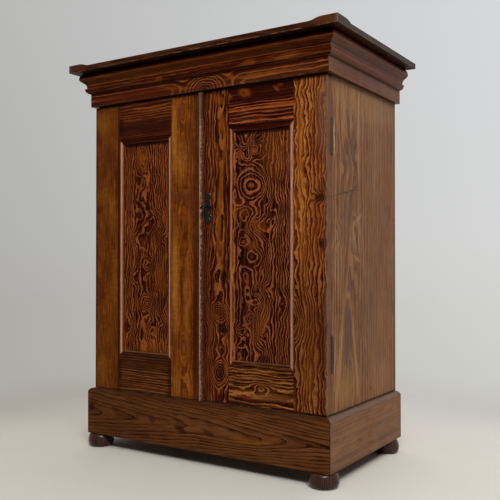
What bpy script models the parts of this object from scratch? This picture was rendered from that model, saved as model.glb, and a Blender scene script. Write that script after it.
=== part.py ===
"""Two-door pine cupboard with a moulded cornice, a plinth and bun feet.

Metres, +Z up, front towards -Y.  The origin is on the floor, under the middle of the top board, which
is the widest and deepest piece.  Every piece of the real cupboard is one object.  The doors, the key,
the lock bolt and the slide bolt hang on empties that stand on their joint axes.
"""
import math

import bmesh
import bpy
from mathutils import Matrix, Vector

TOUCH = 0.0003            # gap left between two pieces that touch
MITRE_GAP = 0.00045       # the same gap, measured along a piece with a mitred end
SUNK = 0.001              # how far a joined shape reaches into its neighbour

# Case
CASE_WIDTH = 0.872
CASE_HEIGHT = 0.9444
CASE_DEPTH = 0.465
BOARD = 0.020             # sides, bottom and case top
BACK_THICK = 0.012
BACK_BOARDS = 3
SHELF_THICK = 0.018
SHELF_COUNT = 2
SHELF_SETBACK = 0.030
CLEAT = 0.020
CLEAT_SETBACK = 0.015

# Plinth and bun feet
FOOT_HEIGHT = 0.0419
FOOT_RADIUS = 0.0425
FOOT_BELLY_HEIGHT = 0.0175
FOOT_TOP_RADIUS = 0.033
FOOT_BASE_RADIUS = 0.034
FOOT_SIDES = 28
FOOT_INSET_SIDE = 0.034
FOOT_INSET_FRONT = 0.029
FOOT_INSET_BACK = 0.046
SPIGOT_RADIUS = 0.0075
SPIGOT_LENGTH = 0.030
PLINTH_HEIGHT = 0.1503
PLINTH_OVERHANG = 0.017
PLINTH_BACK_OVERHANG = 0.0025
PLINTH_BOARD = 0.018
PLINTH_TOP_ROUND = 0.0125
PLINTH_BOTTOM_ROUND = 0.004
CORNER_BLOCK = 0.060
RAIL_DEPTH = 0.045        # rail behind the plinth's front, which closes the way below the doors
RAIL_THICK = 0.022

# Doors
DOOR_THICK = 0.025
DOOR_GAP = 0.0016         # between a door's back and the case's front edge
DOOR_TOP_GAP = 0.003
DOOR_BOTTOM_GAP = 0.0015
DOOR_MEETING_GAP = 0.002
OUTER_STILE = 0.106
MEETING_STILE = 0.109
TOP_RAIL = 0.117
BOTTOM_RAIL = 0.114
BEAD_WIDTH = 0.017        # moulding worked on the frame's inner edges
BEAD_QUIRK = 0.0015
PANEL_RECESS = 0.010
PANEL_THICK = 0.008
BACK_LIP_SETBACK = 0.0005
TENON_LENGTH = 0.035
TENON_THICK = 0.007
TENON_SHOULDER = 0.020
EDGE_ROUND = 0.0012

# Bead that covers the meeting edges, on the right door
STRIP_WIDTH = 0.0175
STRIP_RISE = 0.0075
STRIP_EDGE = 0.0015
STRIP_SQUARE_TOP = 0.065  # plain length above the rounded one

# Butt hinges
HINGE_LENGTH = 0.100
HINGE_INSET = 0.118       # from a door's end to the hinge
HINGE_PROUD = 0.0008      # axis outside the face of the case side
HINGE_RADIUS = 0.004
HINGE_LEAF = 0.0012
HINGE_LEAF_WIDTH = 0.017
HINGE_KNUCKLES = 5
HINGE_PIN_RADIUS = 0.0019
HINGE_PIN_CLEARANCE = 0.0003
HINGE_RUNNING = 0.0004    # play between knuckles and round them
HINGE_BALL_RADIUS = 0.0034
HINGE_SIDES = 16

# Lock, bolt and key
KEYHOLE_INSET = 0.0325    # from the right door's meeting edge
KEYHOLE_HEIGHT = 0.588    # above the door's bottom
KEY_SHANK_RADIUS = 0.0025
KEY_CLEARANCE = 0.0003
KEY_BOW_RADIUS = 0.009
KEY_BOW_WIRE = 0.002
KEY_BOW_REACH = 0.023     # bow's middle in front of the door
KEY_BIT_REACH = 0.0085
KEY_BIT_WIDTH = 0.007
KEY_BIT_THICK = 0.003
LOCK_WIDTH = 0.058
LOCK_DEPTH = 0.014
LOCK_WALL = 0.0015
LOCK_EDGE = 0.0006
LOCK_ABOVE_KEY = 0.036
BOLT_HEIGHT = 0.012
BOLT_THICK = 0.006
BOLT_LENGTH = 0.046
BOLT_THROW = 0.012
BOLT_BELOW_KEY = 0.010
BOLT_BEHIND_DOOR = 0.004
ESCUTCHEON_HEIGHT = 0.095
ESCUTCHEON_WIDTH = 0.028
ESCUTCHEON_THICK = 0.0022
ESCUTCHEON_DROP = 0.0026  # middle of the plate below the keyhole
KEEPER_SPARE = 0.004      # wider than the throw
KEEPER_WALL = 0.0015
KEEPER_FLANGE = 0.010
KEEPER_ROOM = 0.001

# Slide bolt inside the left door
SLIDE_INSET = 0.030
SLIDE_PLATE_WIDTH = 0.028
SLIDE_PLATE_HEIGHT = 0.080
SLIDE_PLATE_THICK = 0.002
SLIDE_PLATE_DROP = 0.010
SLIDE_BAR_WIDTH = 0.010
SLIDE_BAR_THICK = 0.005
SLIDE_BAR_DROP = 0.002
SLIDE_GUIDE_HEIGHT = 0.010
SLIDE_GUIDE_WALL = 0.003
SLIDE_TAIL = 0.005
SLIDE_THROW = 0.015
SLIDE_KNOB_RADIUS = 0.004
SLIDE_KNOB_REACH = 0.010
SLIDE_NOTCH_ROOM = 0.001

# Cornice and top
CORNICE_BACK_OVERHANG = 0.0124
FRIEZE_SHOWING = 0.0438
FRIEZE_OVERHANG = 0.012
FRIEZE_THICK = 0.018
CROWN_HEIGHT = 0.0673
BEAD_TOP = 0.0166         # heights above the crown's lower edge
FILLET_TOP = 0.0266
CROWN_BELLY = 0.0477
BEAD_OVERHANG = 0.0265
GROOVE_OVERHANG = 0.0205
FILLET_OVERHANG = 0.0225
CROWN_OVERHANG = 0.0405
CROWN_TOP_OVERHANG = 0.026
TOP_OVERHANG = 0.063
TOP_BACK_OVERHANG = 0.0205
TOP_THICK = 0.0166
EAR_RISE = 0.0077
EAR_LENGTH = 0.088        # along the front
EAR_DEPTH = 0.080         # along the side
EAR_SLOPE = 0.038         # curved part of either

# Heights and planes worked out from the sizes above
HALF = CASE_WIDTH / 2
PLINTH_TOP = FOOT_HEIGHT + PLINTH_HEIGHT
CASE_TOP = PLINTH_TOP + CASE_HEIGHT
CROWN_FOOT = CASE_TOP + FRIEZE_SHOWING
TOP_UNDERSIDE = CROWN_FOOT + CROWN_HEIGHT
TOP_DEPTH = TOP_OVERHANG + DOOR_THICK + DOOR_GAP + CASE_DEPTH + TOP_BACK_OVERHANG
FACE = -TOP_DEPTH / 2 + TOP_OVERHANG
DOOR_BACK = FACE + DOOR_THICK
CASE_FRONT = DOOR_BACK + DOOR_GAP
CASE_BACK = CASE_FRONT + CASE_DEPTH
DOOR_LOW = PLINTH_TOP + DOOR_BOTTOM_GAP
DOOR_HIGH = CASE_TOP - DOOR_TOP_GAP
INNER = HALF - BOARD
FLOOR_LEVEL = PLINTH_TOP + TOUCH + BOARD
CEILING_LEVEL = CASE_TOP - TOUCH - BOARD
HINGE_X = HALF + HINGE_PROUD
HINGE_Y = DOOR_BACK + DOOR_GAP / 2
DOOR_EDGE = DOOR_MEETING_GAP / 2
KEY_X = DOOR_EDGE + KEYHOLE_INSET
KEY_Z = DOOR_LOW + KEYHOLE_HEIGHT

X, Y, Z = Vector((1, 0, 0)), Vector((0, 1, 0)), Vector((0, 0, 1))

FINISHES = {              # colour, roughness, metallic
    "dark_pine": ((0.150, 0.048, 0.016), 0.38, 0.0),
    "gold_pine": ((0.210, 0.085, 0.024), 0.38, 0.0),
    "case_pine": ((0.200, 0.120, 0.070), 0.45, 0.0),
    "raw_pine": ((0.420, 0.290, 0.160), 0.75, 0.0),
    "dark_foot": ((0.045, 0.020, 0.014), 0.40, 0.0),
    "iron": ((0.035, 0.033, 0.032), 0.45, 0.9),
}


def collection(name):
    """A new collection under the scene."""
    group = bpy.data.collections.new(name)
    bpy.context.scene.collection.children.link(group)
    return group


def finish(obj, kind):
    """Give an object its own material of one of the finishes."""
    colour, roughness, metallic = FINISHES[kind]
    material = bpy.data.materials.new(f"{obj.name}_{kind}")
    material.use_nodes = True
    shader = material.node_tree.nodes["Principled BSDF"]
    shader.inputs["Base Color"].default_value = (*colour, 1.0)
    shader.inputs["Roughness"].default_value = roughness
    shader.inputs["Metallic"].default_value = metallic
    obj.data.materials.append(material)


def place(name, bm, kind, location=(0, 0, 0)):
    """Make a piece from a bmesh, or a hidden shape to cut or join with where kind is None."""
    bmesh.ops.recalc_face_normals(bm, faces=bm.faces)
    mesh = bpy.data.meshes.new(name)
    bm.to_mesh(mesh)
    bm.free()
    obj = bpy.data.objects.new(name, mesh)
    obj.location = location
    if kind:
        PIECES.objects.link(obj)
        finish(obj, kind)
    else:
        SHAPES.objects.link(obj)
        obj.hide_render = True
        obj.display_type = "WIRE"
    return obj


def box(name, low, high, kind=None, edge=0.0):
    """An upright block between two corners, its edges eased by a small bevel."""
    size = Vector(high) - Vector(low)
    centre = (Vector(high) + Vector(low)) / 2
    bm = bmesh.new()
    bmesh.ops.create_cube(bm, size=1.0, matrix=Matrix.Diagonal((*size, 1.0)))
    obj = place(name, bm, kind, centre)
    if edge:
        ease = obj.modifiers.new("eased edges", "BEVEL")
        ease.width = edge
        ease.segments = 1
    return obj


def cylinder(name, centre, axis, radius, length, sides, kind=None):
    """A round bar about an axis through its centre."""
    turn = Z.rotation_difference(axis).to_matrix().to_4x4()
    bm = bmesh.new()
    bmesh.ops.create_cone(bm, cap_ends=True, segments=sides, radius1=radius, radius2=radius,
                          depth=length, matrix=turn)
    return place(name, bm, kind, centre)


def extrusion(name, outline, start, end, axes, origin, kind=None):
    """Sweep an outline of (out, up) points straight along, between two ends.

    start and end give the distance along for a point's own out and up, so that a mitred or slanted
    end is a function of them.  axes are the directions of along, out and up from the origin.
    """
    along, out, up = axes
    bm = bmesh.new()
    corners = [bm.verts.new(along * start(o, u) + out * o + up * u) for o, u in outline]
    grown = bmesh.ops.extrude_face_region(bm, geom=[bm.faces.new(corners)])
    for vert in grown["geom"]:
        if isinstance(vert, bmesh.types.BMVert):
            o, u = vert.co.dot(out), vert.co.dot(up)
            vert.co += along * (end(o, u) - start(o, u))
    return place(name, bm, kind, origin)


def at(distance):
    """A square end, for extrusion."""
    return lambda out, up: distance


def combine(obj, other, operation):
    """Cut another shape from a piece, or join it on."""
    step = obj.modifiers.new(f"{operation.lower()} {other.name}", "BOOLEAN")
    step.operation = operation
    step.object = other
    step.solver = "EXACT"


def cut(obj, *others):
    for other in others:
        combine(obj, other, "DIFFERENCE")


def join(obj, *others):
    for other in others:
        combine(obj, other, "UNION")


def arc(centre, radii, first, last, steps):
    """Points on an ellipse's arc between two angles in degrees."""
    points = []
    for step in range(steps + 1):
        angle = math.radians(first + (last - first) * step / steps)
        points.append((centre[0] + radii[0] * math.cos(angle), centre[1] + radii[1] * math.sin(angle)))
    return points


def hang(axis_name, location, pieces, parent=None):
    """Put an empty on a joint's axis and parent the pieces, and their cutters, to it."""
    empty = bpy.data.objects.new(axis_name, None)
    empty.empty_display_size = 0.05
    PIECES.objects.link(empty)
    empty.matrix_world = Matrix.Translation(location)
    if parent:
        empty.parent = parent
        empty.matrix_parent_inverse = Matrix.Translation(parent.matrix_world.translation).inverted()
    back = Matrix.Translation(location).inverted()
    for piece in pieces:
        shapes = [step.object for step in piece.modifiers if step.type == "BOOLEAN"]
        for obj in [piece, *shapes]:
            obj.parent = empty
            obj.matrix_parent_inverse = back
    return empty


# Feet and plinth

def build_foot(name, x, y):
    """A turned bun foot with a spigot that stands in the corner block above it."""
    belly = FOOT_BELLY_HEIGHT
    upper = arc((FOOT_TOP_RADIUS, belly), (FOOT_RADIUS - FOOT_TOP_RADIUS, FOOT_HEIGHT - belly), 90, 0, 6)
    lower = arc((FOOT_BASE_RADIUS, belly), (FOOT_RADIUS - FOOT_BASE_RADIUS, belly), 0, -90, 5)
    spigot_top = FOOT_HEIGHT + SPIGOT_LENGTH
    profile = [(0.0, spigot_top), (SPIGOT_RADIUS, spigot_top), (SPIGOT_RADIUS, FOOT_HEIGHT)]
    profile += upper + lower[1:] + [(0.0, 0.0)]
    bm = bmesh.new()
    verts = [bm.verts.new((radius, 0, height)) for radius, height in profile]
    for above, below in zip(verts, verts[1:]):
        bm.edges.new((above, below))
    obj = place(name, bm, "dark_foot", (x, y, 0))
    turning = obj.modifiers.new("turning", "SCREW")
    turning.steps = turning.render_steps = FOOT_SIDES
    turning.use_merge_vertices = True
    turning.merge_threshold = 0.00001
    turning.use_smooth_shade = True
    return obj


def foot_places():
    """Name and plan position of each foot."""
    x = HALF + PLINTH_OVERHANG - FOOT_INSET_SIDE
    front = FACE - PLINTH_OVERHANG + FOOT_INSET_FRONT
    back = CASE_BACK + PLINTH_BACK_OVERHANG - FOOT_INSET_BACK
    return {"front_left": (-x, front), "front_right": (x, front),
            "back_left": (-x, back), "back_right": (x, back)}


def build_plinth():
    """Three outer boards with a rounded top edge, mitred at the front, a plain board at the back, and a
    rail and corner blocks inside."""
    inner = PLINTH_OVERHANG - PLINTH_BOARD
    low, high = FOOT_HEIGHT + TOUCH, PLINTH_TOP
    outline = [(inner, low)]
    outline += arc((PLINTH_OVERHANG - PLINTH_BOTTOM_ROUND, low + PLINTH_BOTTOM_ROUND),
                   (PLINTH_BOTTOM_ROUND, PLINTH_BOTTOM_ROUND), -90, 0, 2)
    outline += arc((PLINTH_OVERHANG - PLINTH_TOP_ROUND, high - PLINTH_TOP_ROUND),
                   (PLINTH_TOP_ROUND, PLINTH_TOP_ROUND), 0, 90, 5)
    outline.append((inner, high))
    corner_frame("plinth", outline, CASE_BACK + PLINTH_BACK_OVERHANG, "dark_pine", "case_pine")
    reach = HALF + inner - TOUCH
    back = CASE_BACK + PLINTH_BACK_OVERHANG
    box("plinth_back", (-reach, back - PLINTH_BOARD, low), (reach, back, high), "raw_pine", EDGE_ROUND)
    rail_reach, rail_front = reach - CORNER_BLOCK - TOUCH, FACE - inner + TOUCH
    box("plinth_rail", (-rail_reach, rail_front, high - RAIL_THICK),
        (rail_reach, rail_front + RAIL_DEPTH, high), "raw_pine", EDGE_ROUND)

    for corner, (x, y) in foot_places().items():
        side = math.copysign(1, x)
        build_foot(f"foot_{corner}", x, y)
        front = corner.startswith("front")
        near = (FACE - inner if front else back - PLINTH_BOARD) + (TOUCH if front else -TOUCH)
        far = near + (CORNER_BLOCK if front else -CORNER_BLOCK)
        xs = sorted((side * reach, side * (reach - CORNER_BLOCK)))
        block = box(f"corner_block_{corner}", (xs[0], min(near, far), low), (xs[1], max(near, far), high),
                    "raw_pine")
        bore = cylinder(f"bore_{corner}", (x, y, FOOT_HEIGHT + SPIGOT_LENGTH / 2), Z,
                        SPIGOT_RADIUS + 2 * TOUCH, SPIGOT_LENGTH + 2 * SUNK, FOOT_SIDES)
        cut(block, bore)


def corner_frame(name, outline, back, front_kind, side_kind):
    """Front, left and right lengths of one outline, mitred together at the front corners.

    The outline's out is measured from the door face and from the outer faces of the case.
    """
    mitre = HALF - MITRE_GAP / 2
    extrusion(f"{name}_front", outline, lambda o, u: -mitre - o, lambda o, u: mitre + o,
              (X, -Y, Z), (0, FACE, 0), front_kind)
    for side, sign in (("left", -1), ("right", 1)):
        extrusion(f"{name}_{side}", outline, lambda o, u: MITRE_GAP / 2 - o, at(back - FACE),
                  (Y, X * sign, Z), (sign * HALF, FACE, 0), side_kind)


# Case

def build_case():
    """Sides, bottom, top, upright back boards, and shelves on cleats."""
    low, high = PLINTH_TOP + TOUCH, CASE_TOP - TOUCH
    reach = INNER - TOUCH
    back_front = CASE_BACK - BACK_THICK
    sides = {}
    for side, sign in (("left", -1), ("right", 1)):
        xs = sorted((sign * INNER, sign * HALF))
        sides[sign] = box(f"side_{side}", (xs[0], CASE_FRONT, low), (xs[1], CASE_BACK, high),
                          "case_pine", EDGE_ROUND)
    box("bottom_board", (-reach, CASE_FRONT, low), (reach, back_front - TOUCH, FLOOR_LEVEL),
        "raw_pine", EDGE_ROUND)
    top = box("case_top", (-reach, CASE_FRONT, CEILING_LEVEL), (reach, back_front - TOUCH, high),
              "raw_pine", EDGE_ROUND)

    width = 2 * reach / BACK_BOARDS
    for number in range(BACK_BOARDS):
        left = -reach + number * width
        box(f"back_board_{number + 1}", (left + TOUCH, back_front, low),
            (left + width - TOUCH, CASE_BACK, high), "raw_pine", EDGE_ROUND)

    room = (CEILING_LEVEL - FLOOR_LEVEL - SHELF_COUNT * SHELF_THICK) / (SHELF_COUNT + 1)
    for number in range(SHELF_COUNT):
        under = FLOOR_LEVEL + (number + 1) * room + number * SHELF_THICK
        box(f"shelf_{number + 1}", (-reach, CASE_FRONT + SHELF_SETBACK, under),
            (reach, back_front - TOUCH, under + SHELF_THICK), "raw_pine", EDGE_ROUND)
        for side, sign in (("left", -1), ("right", 1)):
            xs = sorted((sign * reach, sign * (reach - CLEAT)))
            box(f"shelf_cleat_{side}_{number + 1}",
                (xs[0], CASE_FRONT + SHELF_SETBACK + CLEAT_SETBACK, under - TOUCH - CLEAT),
                (xs[1], back_front - TOUCH, under - TOUCH), "raw_pine", EDGE_ROUND)
    return sides, top


# Cornice

def build_cornice():
    """Frieze boards with a rail behind, the crown moulding planted on them, and the top board."""
    back = CASE_BACK + CORNICE_BACK_OVERHANG
    inner = FRIEZE_OVERHANG - FRIEZE_THICK
    low, high = CASE_TOP + TOUCH, TOP_UNDERSIDE - TOUCH
    outline = [(inner, low), (FRIEZE_OVERHANG, low), (FRIEZE_OVERHANG, high), (inner, high)]
    corner_frame("frieze", outline, back, "dark_pine", "case_pine")
    reach = HALF + inner - TOUCH
    box("frieze_back", (-reach, back - FRIEZE_THICK, low), (reach, back, high), "raw_pine", EDGE_ROUND)

    planted = FRIEZE_OVERHANG + TOUCH
    foot = CROWN_FOOT
    bead_width = BEAD_OVERHANG - planted
    outline = [(planted, high), (planted, foot)]
    outline += arc((planted, foot + BEAD_TOP), (bead_width, BEAD_TOP), -90, 0, 5)[1:]
    outline += [(GROOVE_OVERHANG, foot + BEAD_TOP + SUNK), (FILLET_OVERHANG, foot + FILLET_TOP)]
    rise = CROWN_BELLY - FILLET_TOP
    swell = CROWN_OVERHANG - FILLET_OVERHANG
    for step in range(1, 7):
        share = step / 6
        outline.append((FILLET_OVERHANG + swell * (1 - math.cos(math.pi * share)) / 2,
                        foot + FILLET_TOP + rise * share))
    outline += arc((CROWN_TOP_OVERHANG, foot + CROWN_BELLY),
                   (CROWN_OVERHANG - CROWN_TOP_OVERHANG, high - foot - CROWN_BELLY), 0, 90, 4)[1:]
    corner_frame("crown", outline, back, "dark_pine", "case_pine")
    build_top_board()


def ease_down(distance, length):
    """1 out to where the ear starts to fall, then a smooth curve down to 0 at its length."""
    share = (distance - length + EAR_SLOPE) / EAR_SLOPE
    return (1 + math.cos(math.pi * min(1.0, max(0.0, share)))) / 2


def build_top_board():
    """One board whose two front corners rise in a smooth ear."""
    half_width, half_depth = HALF + TOP_OVERHANG, TOP_DEPTH / 2
    steps = 8
    fall = [step / steps for step in range(steps + 1)]
    ear_x = [0.0] + [EAR_LENGTH - EAR_SLOPE + EAR_SLOPE * share for share in fall]
    ear_y = [0.0] + [EAR_DEPTH - EAR_SLOPE + EAR_SLOPE * share for share in fall]
    xs = [-half_width + x for x in ear_x] + [half_width - x for x in reversed(ear_x)]
    ys = [-half_depth + y for y in ear_y] + [half_depth]
    top = TOP_UNDERSIDE + TOP_THICK
    bm = bmesh.new()
    columns, rows = len(xs) - 1, len(ys) - 1
    bmesh.ops.create_grid(bm, x_segments=columns, y_segments=rows, size=0.5)
    for vert in bm.verts:
        x = xs[round((vert.co.x + 0.5) * columns)]
        y = ys[round((vert.co.y + 0.5) * rows)]
        rise = EAR_RISE * ease_down(half_width - abs(x), EAR_LENGTH) * ease_down(half_depth + y, EAR_DEPTH)
        vert.co = (x, y, top + rise)
    grown = bmesh.ops.extrude_face_region(bm, geom=bm.faces[:])
    for vert in grown["geom"]:
        if isinstance(vert, bmesh.types.BMVert):
            vert.co.z = TOP_UNDERSIDE
    bmesh.ops.dissolve_limit(bm, angle_limit=0.001, verts=bm.verts[:], edges=bm.edges[:])
    return place("top_board", bm, "dark_pine")


# Doors

def lip_shapes(name, start, end, axes, origin):
    """The two lips of one frame member, mitred at both ends."""
    lip_back = PANEL_RECESS - TOUCH
    drop = lip_back - BEAD_QUIRK
    front = [(-SUNK, lip_back), (-SUNK, BEAD_QUIRK)]
    front += arc((0.0, lip_back), (BEAD_WIDTH, -drop), 90, 0, 6)
    rear_low = PANEL_RECESS + PANEL_THICK + TOUCH
    rear_high = DOOR_THICK - BACK_LIP_SETBACK
    rear = [(-SUNK, rear_low), (BEAD_WIDTH, rear_low), (BEAD_WIDTH, rear_high), (-SUNK, rear_high)]
    return [extrusion(f"{name}_moulding", front, start, end, axes, origin),
            extrusion(f"{name}_back_lip", rear, start, end, axes, origin)]


def build_door(side, sign, kind):
    """Stiles, rails and panel of one door; sign is the door's side of the middle."""
    outer, meeting = sign * HALF, sign * DOOR_EDGE
    outer_joint = sign * (HALF - OUTER_STILE)
    meeting_joint = sign * (DOOR_EDGE + MEETING_STILE)
    low_joint, high_joint = DOOR_LOW + BOTTOM_RAIL, DOOR_HIGH - TOP_RAIL
    stiles = {}
    for part, edge, joint, inward in (("hinge_stile", outer, outer_joint, -sign),
                                      ("meeting_stile", meeting, meeting_joint, sign)):
        name = f"{side}_{part}"
        xs = sorted((edge, joint))
        stile = box(name, (xs[0], FACE, DOOR_LOW), (xs[1], DOOR_BACK, DOOR_HIGH), kind, EDGE_ROUND)
        join(stile, *lip_shapes(name, lambda o, u: low_joint + o, lambda o, u: high_joint - o,
                                (Z, X * inward, Y), (joint, FACE, 0)))
        stiles[part] = stile
    pieces = list(stiles.values())

    lefts = sorted((outer_joint, meeting_joint))
    left, right = lefts[0] + TOUCH, lefts[1] - TOUCH
    tenon_front = FACE + PANEL_RECESS + (PANEL_THICK - TENON_THICK) / 2
    for part, bottom, top, joint, upward in (("bottom_rail", DOOR_LOW, low_joint, low_joint, 1),
                                             ("top_rail", high_joint, DOOR_HIGH, high_joint, -1)):
        name = f"{side}_{part}"
        rail = box(name, (left, FACE, bottom), (right, DOOR_BACK, top), kind)
        start = lambda o, u: lefts[0] + max(o, 0.0) + MITRE_GAP
        end = lambda o, u: lefts[1] - max(o, 0.0) - MITRE_GAP
        join(rail, *lip_shapes(name, start, end, (X, Z * upward, Y), (0, FACE, joint)))
        tenon_low, tenon_high = bottom + TENON_SHOULDER, top - TENON_SHOULDER
        for end_name, x, way, stile_x in (("left", left, -1, lefts[0]), ("right", right, 1, lefts[1])):
            xs = sorted((x - way * SUNK, stile_x + way * TENON_LENGTH))
            join(rail, box(f"{name}_tenon_{end_name}", (xs[0], tenon_front, tenon_low),
                           (xs[1], tenon_front + TENON_THICK, tenon_high)))
            xs = sorted((stile_x - way * SUNK, stile_x + way * (TENON_LENGTH + TOUCH)))
            mortise = box(f"{name}_mortise_{end_name}",
                          (xs[0], tenon_front - TOUCH, tenon_low - TOUCH),
                          (xs[1], tenon_front + TENON_THICK + TOUCH, tenon_high + TOUCH))
            is_outer = (way == sign)
            cut(stiles["hinge_stile" if is_outer else "meeting_stile"], mortise)
        pieces.append(rail)

    pieces.append(box(f"{side}_panel", (left, FACE + PANEL_RECESS, low_joint + TOUCH),
                      (right, FACE + PANEL_RECESS + PANEL_THICK, high_joint - TOUCH), kind))
    return stiles, pieces


def build_strip():
    """The bead over the meeting edges: square above, rounded below, on the right door."""
    left = DOOR_EDGE + TOUCH
    front = FACE - TOUCH
    middle = left + STRIP_WIDTH / 2
    square = DOOR_HIGH - STRIP_SQUARE_TOP
    outline = [(-STRIP_WIDTH / 2, 0.0)]
    outline += arc((0.0, STRIP_EDGE), (STRIP_WIDTH / 2, STRIP_RISE - STRIP_EDGE), 180, 0, 10)
    outline.append((STRIP_WIDTH / 2, 0.0))
    strip = extrusion("meeting_bead", outline, at(DOOR_LOW), at(square + SUNK), (Z, X, -Y),
                      (middle, front, 0), "case_pine")
    head = box("meeting_bead_head", (left, front - STRIP_RISE * 0.8, square), (left + STRIP_WIDTH, front,
                                                                               DOOR_HIGH))
    join(strip, head)
    return strip


# Hinges

def build_hinge(side, sign, level, low, door_stile, case_side):
    """One butt hinge: a leaf with the pin on the case and a leaf with bored knuckles on the door."""
    high = low + HINGE_LENGTH
    x = sign * HINGE_X
    pitch = HINGE_LENGTH / HINGE_KNUCKLES
    solid = HINGE_RADIUS + HINGE_RUNNING
    plate_edge = sign * (HINGE_X - solid)
    leaves = {}
    for member, way in (("door", -1), ("case", 1)):
        name = f"hinge_{member}_{side}_{level}"
        ys = sorted((HINGE_Y + way * TOUCH / 2, HINGE_Y + way * (TOUCH / 2 + HINGE_LEAF)))
        xs = sorted((sign * (HALF - HINGE_LEAF_WIDTH), plate_edge))
        leaf = box(name, (xs[0], ys[0], low), (xs[1], ys[1], high), "iron")
        first = 1 if member == "door" else 0
        for knuckle in range(first, HINGE_KNUCKLES, 2):
            bottom = low + knuckle * pitch + (HINGE_RUNNING / 2 if knuckle else 0.0)
            last = knuckle == HINGE_KNUCKLES - 1
            top = low + (knuckle + 1) * pitch - (0.0 if last else HINGE_RUNNING / 2)
            centre = (x, HINGE_Y, (bottom + top) / 2)
            xs = sorted((plate_edge - sign * SUNK, x))
            tab = box(f"{name}_tab_{knuckle}", (xs[0], ys[0], bottom), (xs[1], ys[1], top))
            barrel = cylinder(f"{name}_knuckle_{knuckle}", centre, Z, HINGE_RADIUS, top - bottom,
                              HINGE_SIDES)
            join(leaf, tab, barrel)
        leaves[member] = leaf

    middle = (x, HINGE_Y, (low + high) / 2)
    join(leaves["case"], cylinder(f"hinge_pin_{side}_{level}", middle, Z, HINGE_PIN_RADIUS,
                                  HINGE_LENGTH - 2 * SUNK, HINGE_SIDES))
    for end_name, z in (("low", low), ("high", high)):
        bm = bmesh.new()
        bmesh.ops.create_uvsphere(bm, u_segments=12, v_segments=7, radius=HINGE_BALL_RADIUS)
        join(leaves["case"], place(f"hinge_ball_{side}_{level}_{end_name}", bm, None, (x, HINGE_Y, z)))
    cut(leaves["door"], cylinder(f"hinge_bore_{side}_{level}", middle, Z,
                                 HINGE_PIN_RADIUS + HINGE_PIN_CLEARANCE, HINGE_LENGTH, HINGE_SIDES))

    ends = HINGE_BALL_RADIUS + TOUCH
    for member, piece, way in (("door", door_stile, -1), ("case", case_side, 1)):
        deep = TOUCH / 2 + HINGE_LEAF + TOUCH
        open_y = HINGE_Y - way * DOOR_GAP
        ys = sorted((open_y, HINGE_Y + way * deep))
        xs = sorted((sign * (HALF - HINGE_LEAF_WIDTH - TOUCH), sign * (HALF + SUNK)))
        bed = box(f"hinge_bed_{member}_{side}_{level}", (xs[0], ys[0], low - TOUCH),
                  (xs[1], ys[1], high + TOUCH))
        ys = sorted((open_y, HINGE_Y + way * solid))
        xs = sorted((sign * (HINGE_X - solid), sign * (HALF + SUNK)))
        notch = box(f"hinge_notch_{member}_{side}_{level}", (xs[0], ys[0], low - ends),
                    (xs[1], ys[1], high + ends))
        cut(piece, bed, notch)
    return leaves


# Lock, key and keeper

def keyhole_shape(name, front, back):
    """A round hole with a slot under it for the bit."""
    radius = KEY_SHANK_RADIUS + KEY_CLEARANCE
    half_slot = KEY_BIT_THICK / 2 + TOUCH
    middle = (front + back) / 2
    hole = cylinder(name, (KEY_X, middle, KEY_Z), Y, radius, back - front, HINGE_SIDES)
    join(hole, box(f"{name}_slot", (KEY_X - half_slot, front, KEY_Z - KEY_BIT_REACH - TOUCH),
                   (KEY_X + half_slot, back, KEY_Z)))
    return hole


def build_lock(meeting_stile):
    """Lock case behind the stile, its bolt, the plate in front, and the bored keyhole."""
    left = DOOR_EDGE + LOCK_EDGE
    right = left + LOCK_WIDTH
    front, back = DOOR_BACK + TOUCH, DOOR_BACK + LOCK_DEPTH
    bolt_high = KEY_Z - BOLT_BELOW_KEY
    bolt_low = bolt_high - BOLT_HEIGHT
    low = bolt_low - TOUCH - LOCK_WALL
    high = KEY_Z + LOCK_ABOVE_KEY
    case = box("lock_case", (left, front, low), (right, back, high), "iron")
    room = box("lock_room", (left + LOCK_WALL, front - SUNK, low + LOCK_WALL),
               (right - LOCK_WALL, back - LOCK_WALL, high - LOCK_WALL))
    bolt_front = DOOR_BACK + BOLT_BEHIND_DOOR
    bolt_back = bolt_front + BOLT_THICK
    slot = box("lock_slot", (left - SUNK, bolt_front - TOUCH, bolt_low - TOUCH),
               (left + LOCK_WALL + SUNK, bolt_back + TOUCH, bolt_high + TOUCH))
    cut(case, room, slot)
    bolt = box("lock_bolt", (left + TOUCH, bolt_front, bolt_low),
               (left + TOUCH + BOLT_LENGTH, bolt_back, bolt_high), "iron")

    cut(meeting_stile, keyhole_shape("stile_keyhole", FACE - SUNK, DOOR_BACK + SUNK))
    plate = build_escutcheon()
    return case, bolt, plate


def escutcheon_outline():
    """A plate drawn round a column of discs: a wide middle, a waist and a lobe above and below.

    The half width at a height is the widest disc's chord there, softened into the waists.
    """
    half_height, half_width = ESCUTCHEON_HEIGHT / 2, ESCUTCHEON_WIDTH / 2
    discs = [(0.0, 1.0), (0.38, 0.78), (-0.38, 0.78), (0.72, 0.86), (-0.74, 0.80), (0.90, 0.34),
             (-0.90, 0.34)]
    steps = 40
    side = []
    for step in range(steps + 1):
        height = half_height * math.cos(math.pi * step / steps)
        width = 0.0
        for level, share in discs:
            radius = share * half_width
            width = max(width, math.sqrt(max(0.0, radius ** 2 - (height - level * half_height) ** 2)))
        side.append((max(width, 0.18 * half_width), height))
    return side + [(-width, height) for width, height in reversed(side)]


def build_escutcheon():
    """The flat plate round the keyhole."""
    plate = extrusion("escutcheon", escutcheon_outline(), at(TOUCH), at(TOUCH + ESCUTCHEON_THICK),
                      (-Y, X, Z), (KEY_X, FACE, KEY_Z - ESCUTCHEON_DROP), "iron")
    cut(plate, keyhole_shape("plate_keyhole", FACE - ESCUTCHEON_THICK - SUNK, FACE))
    return plate


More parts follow.
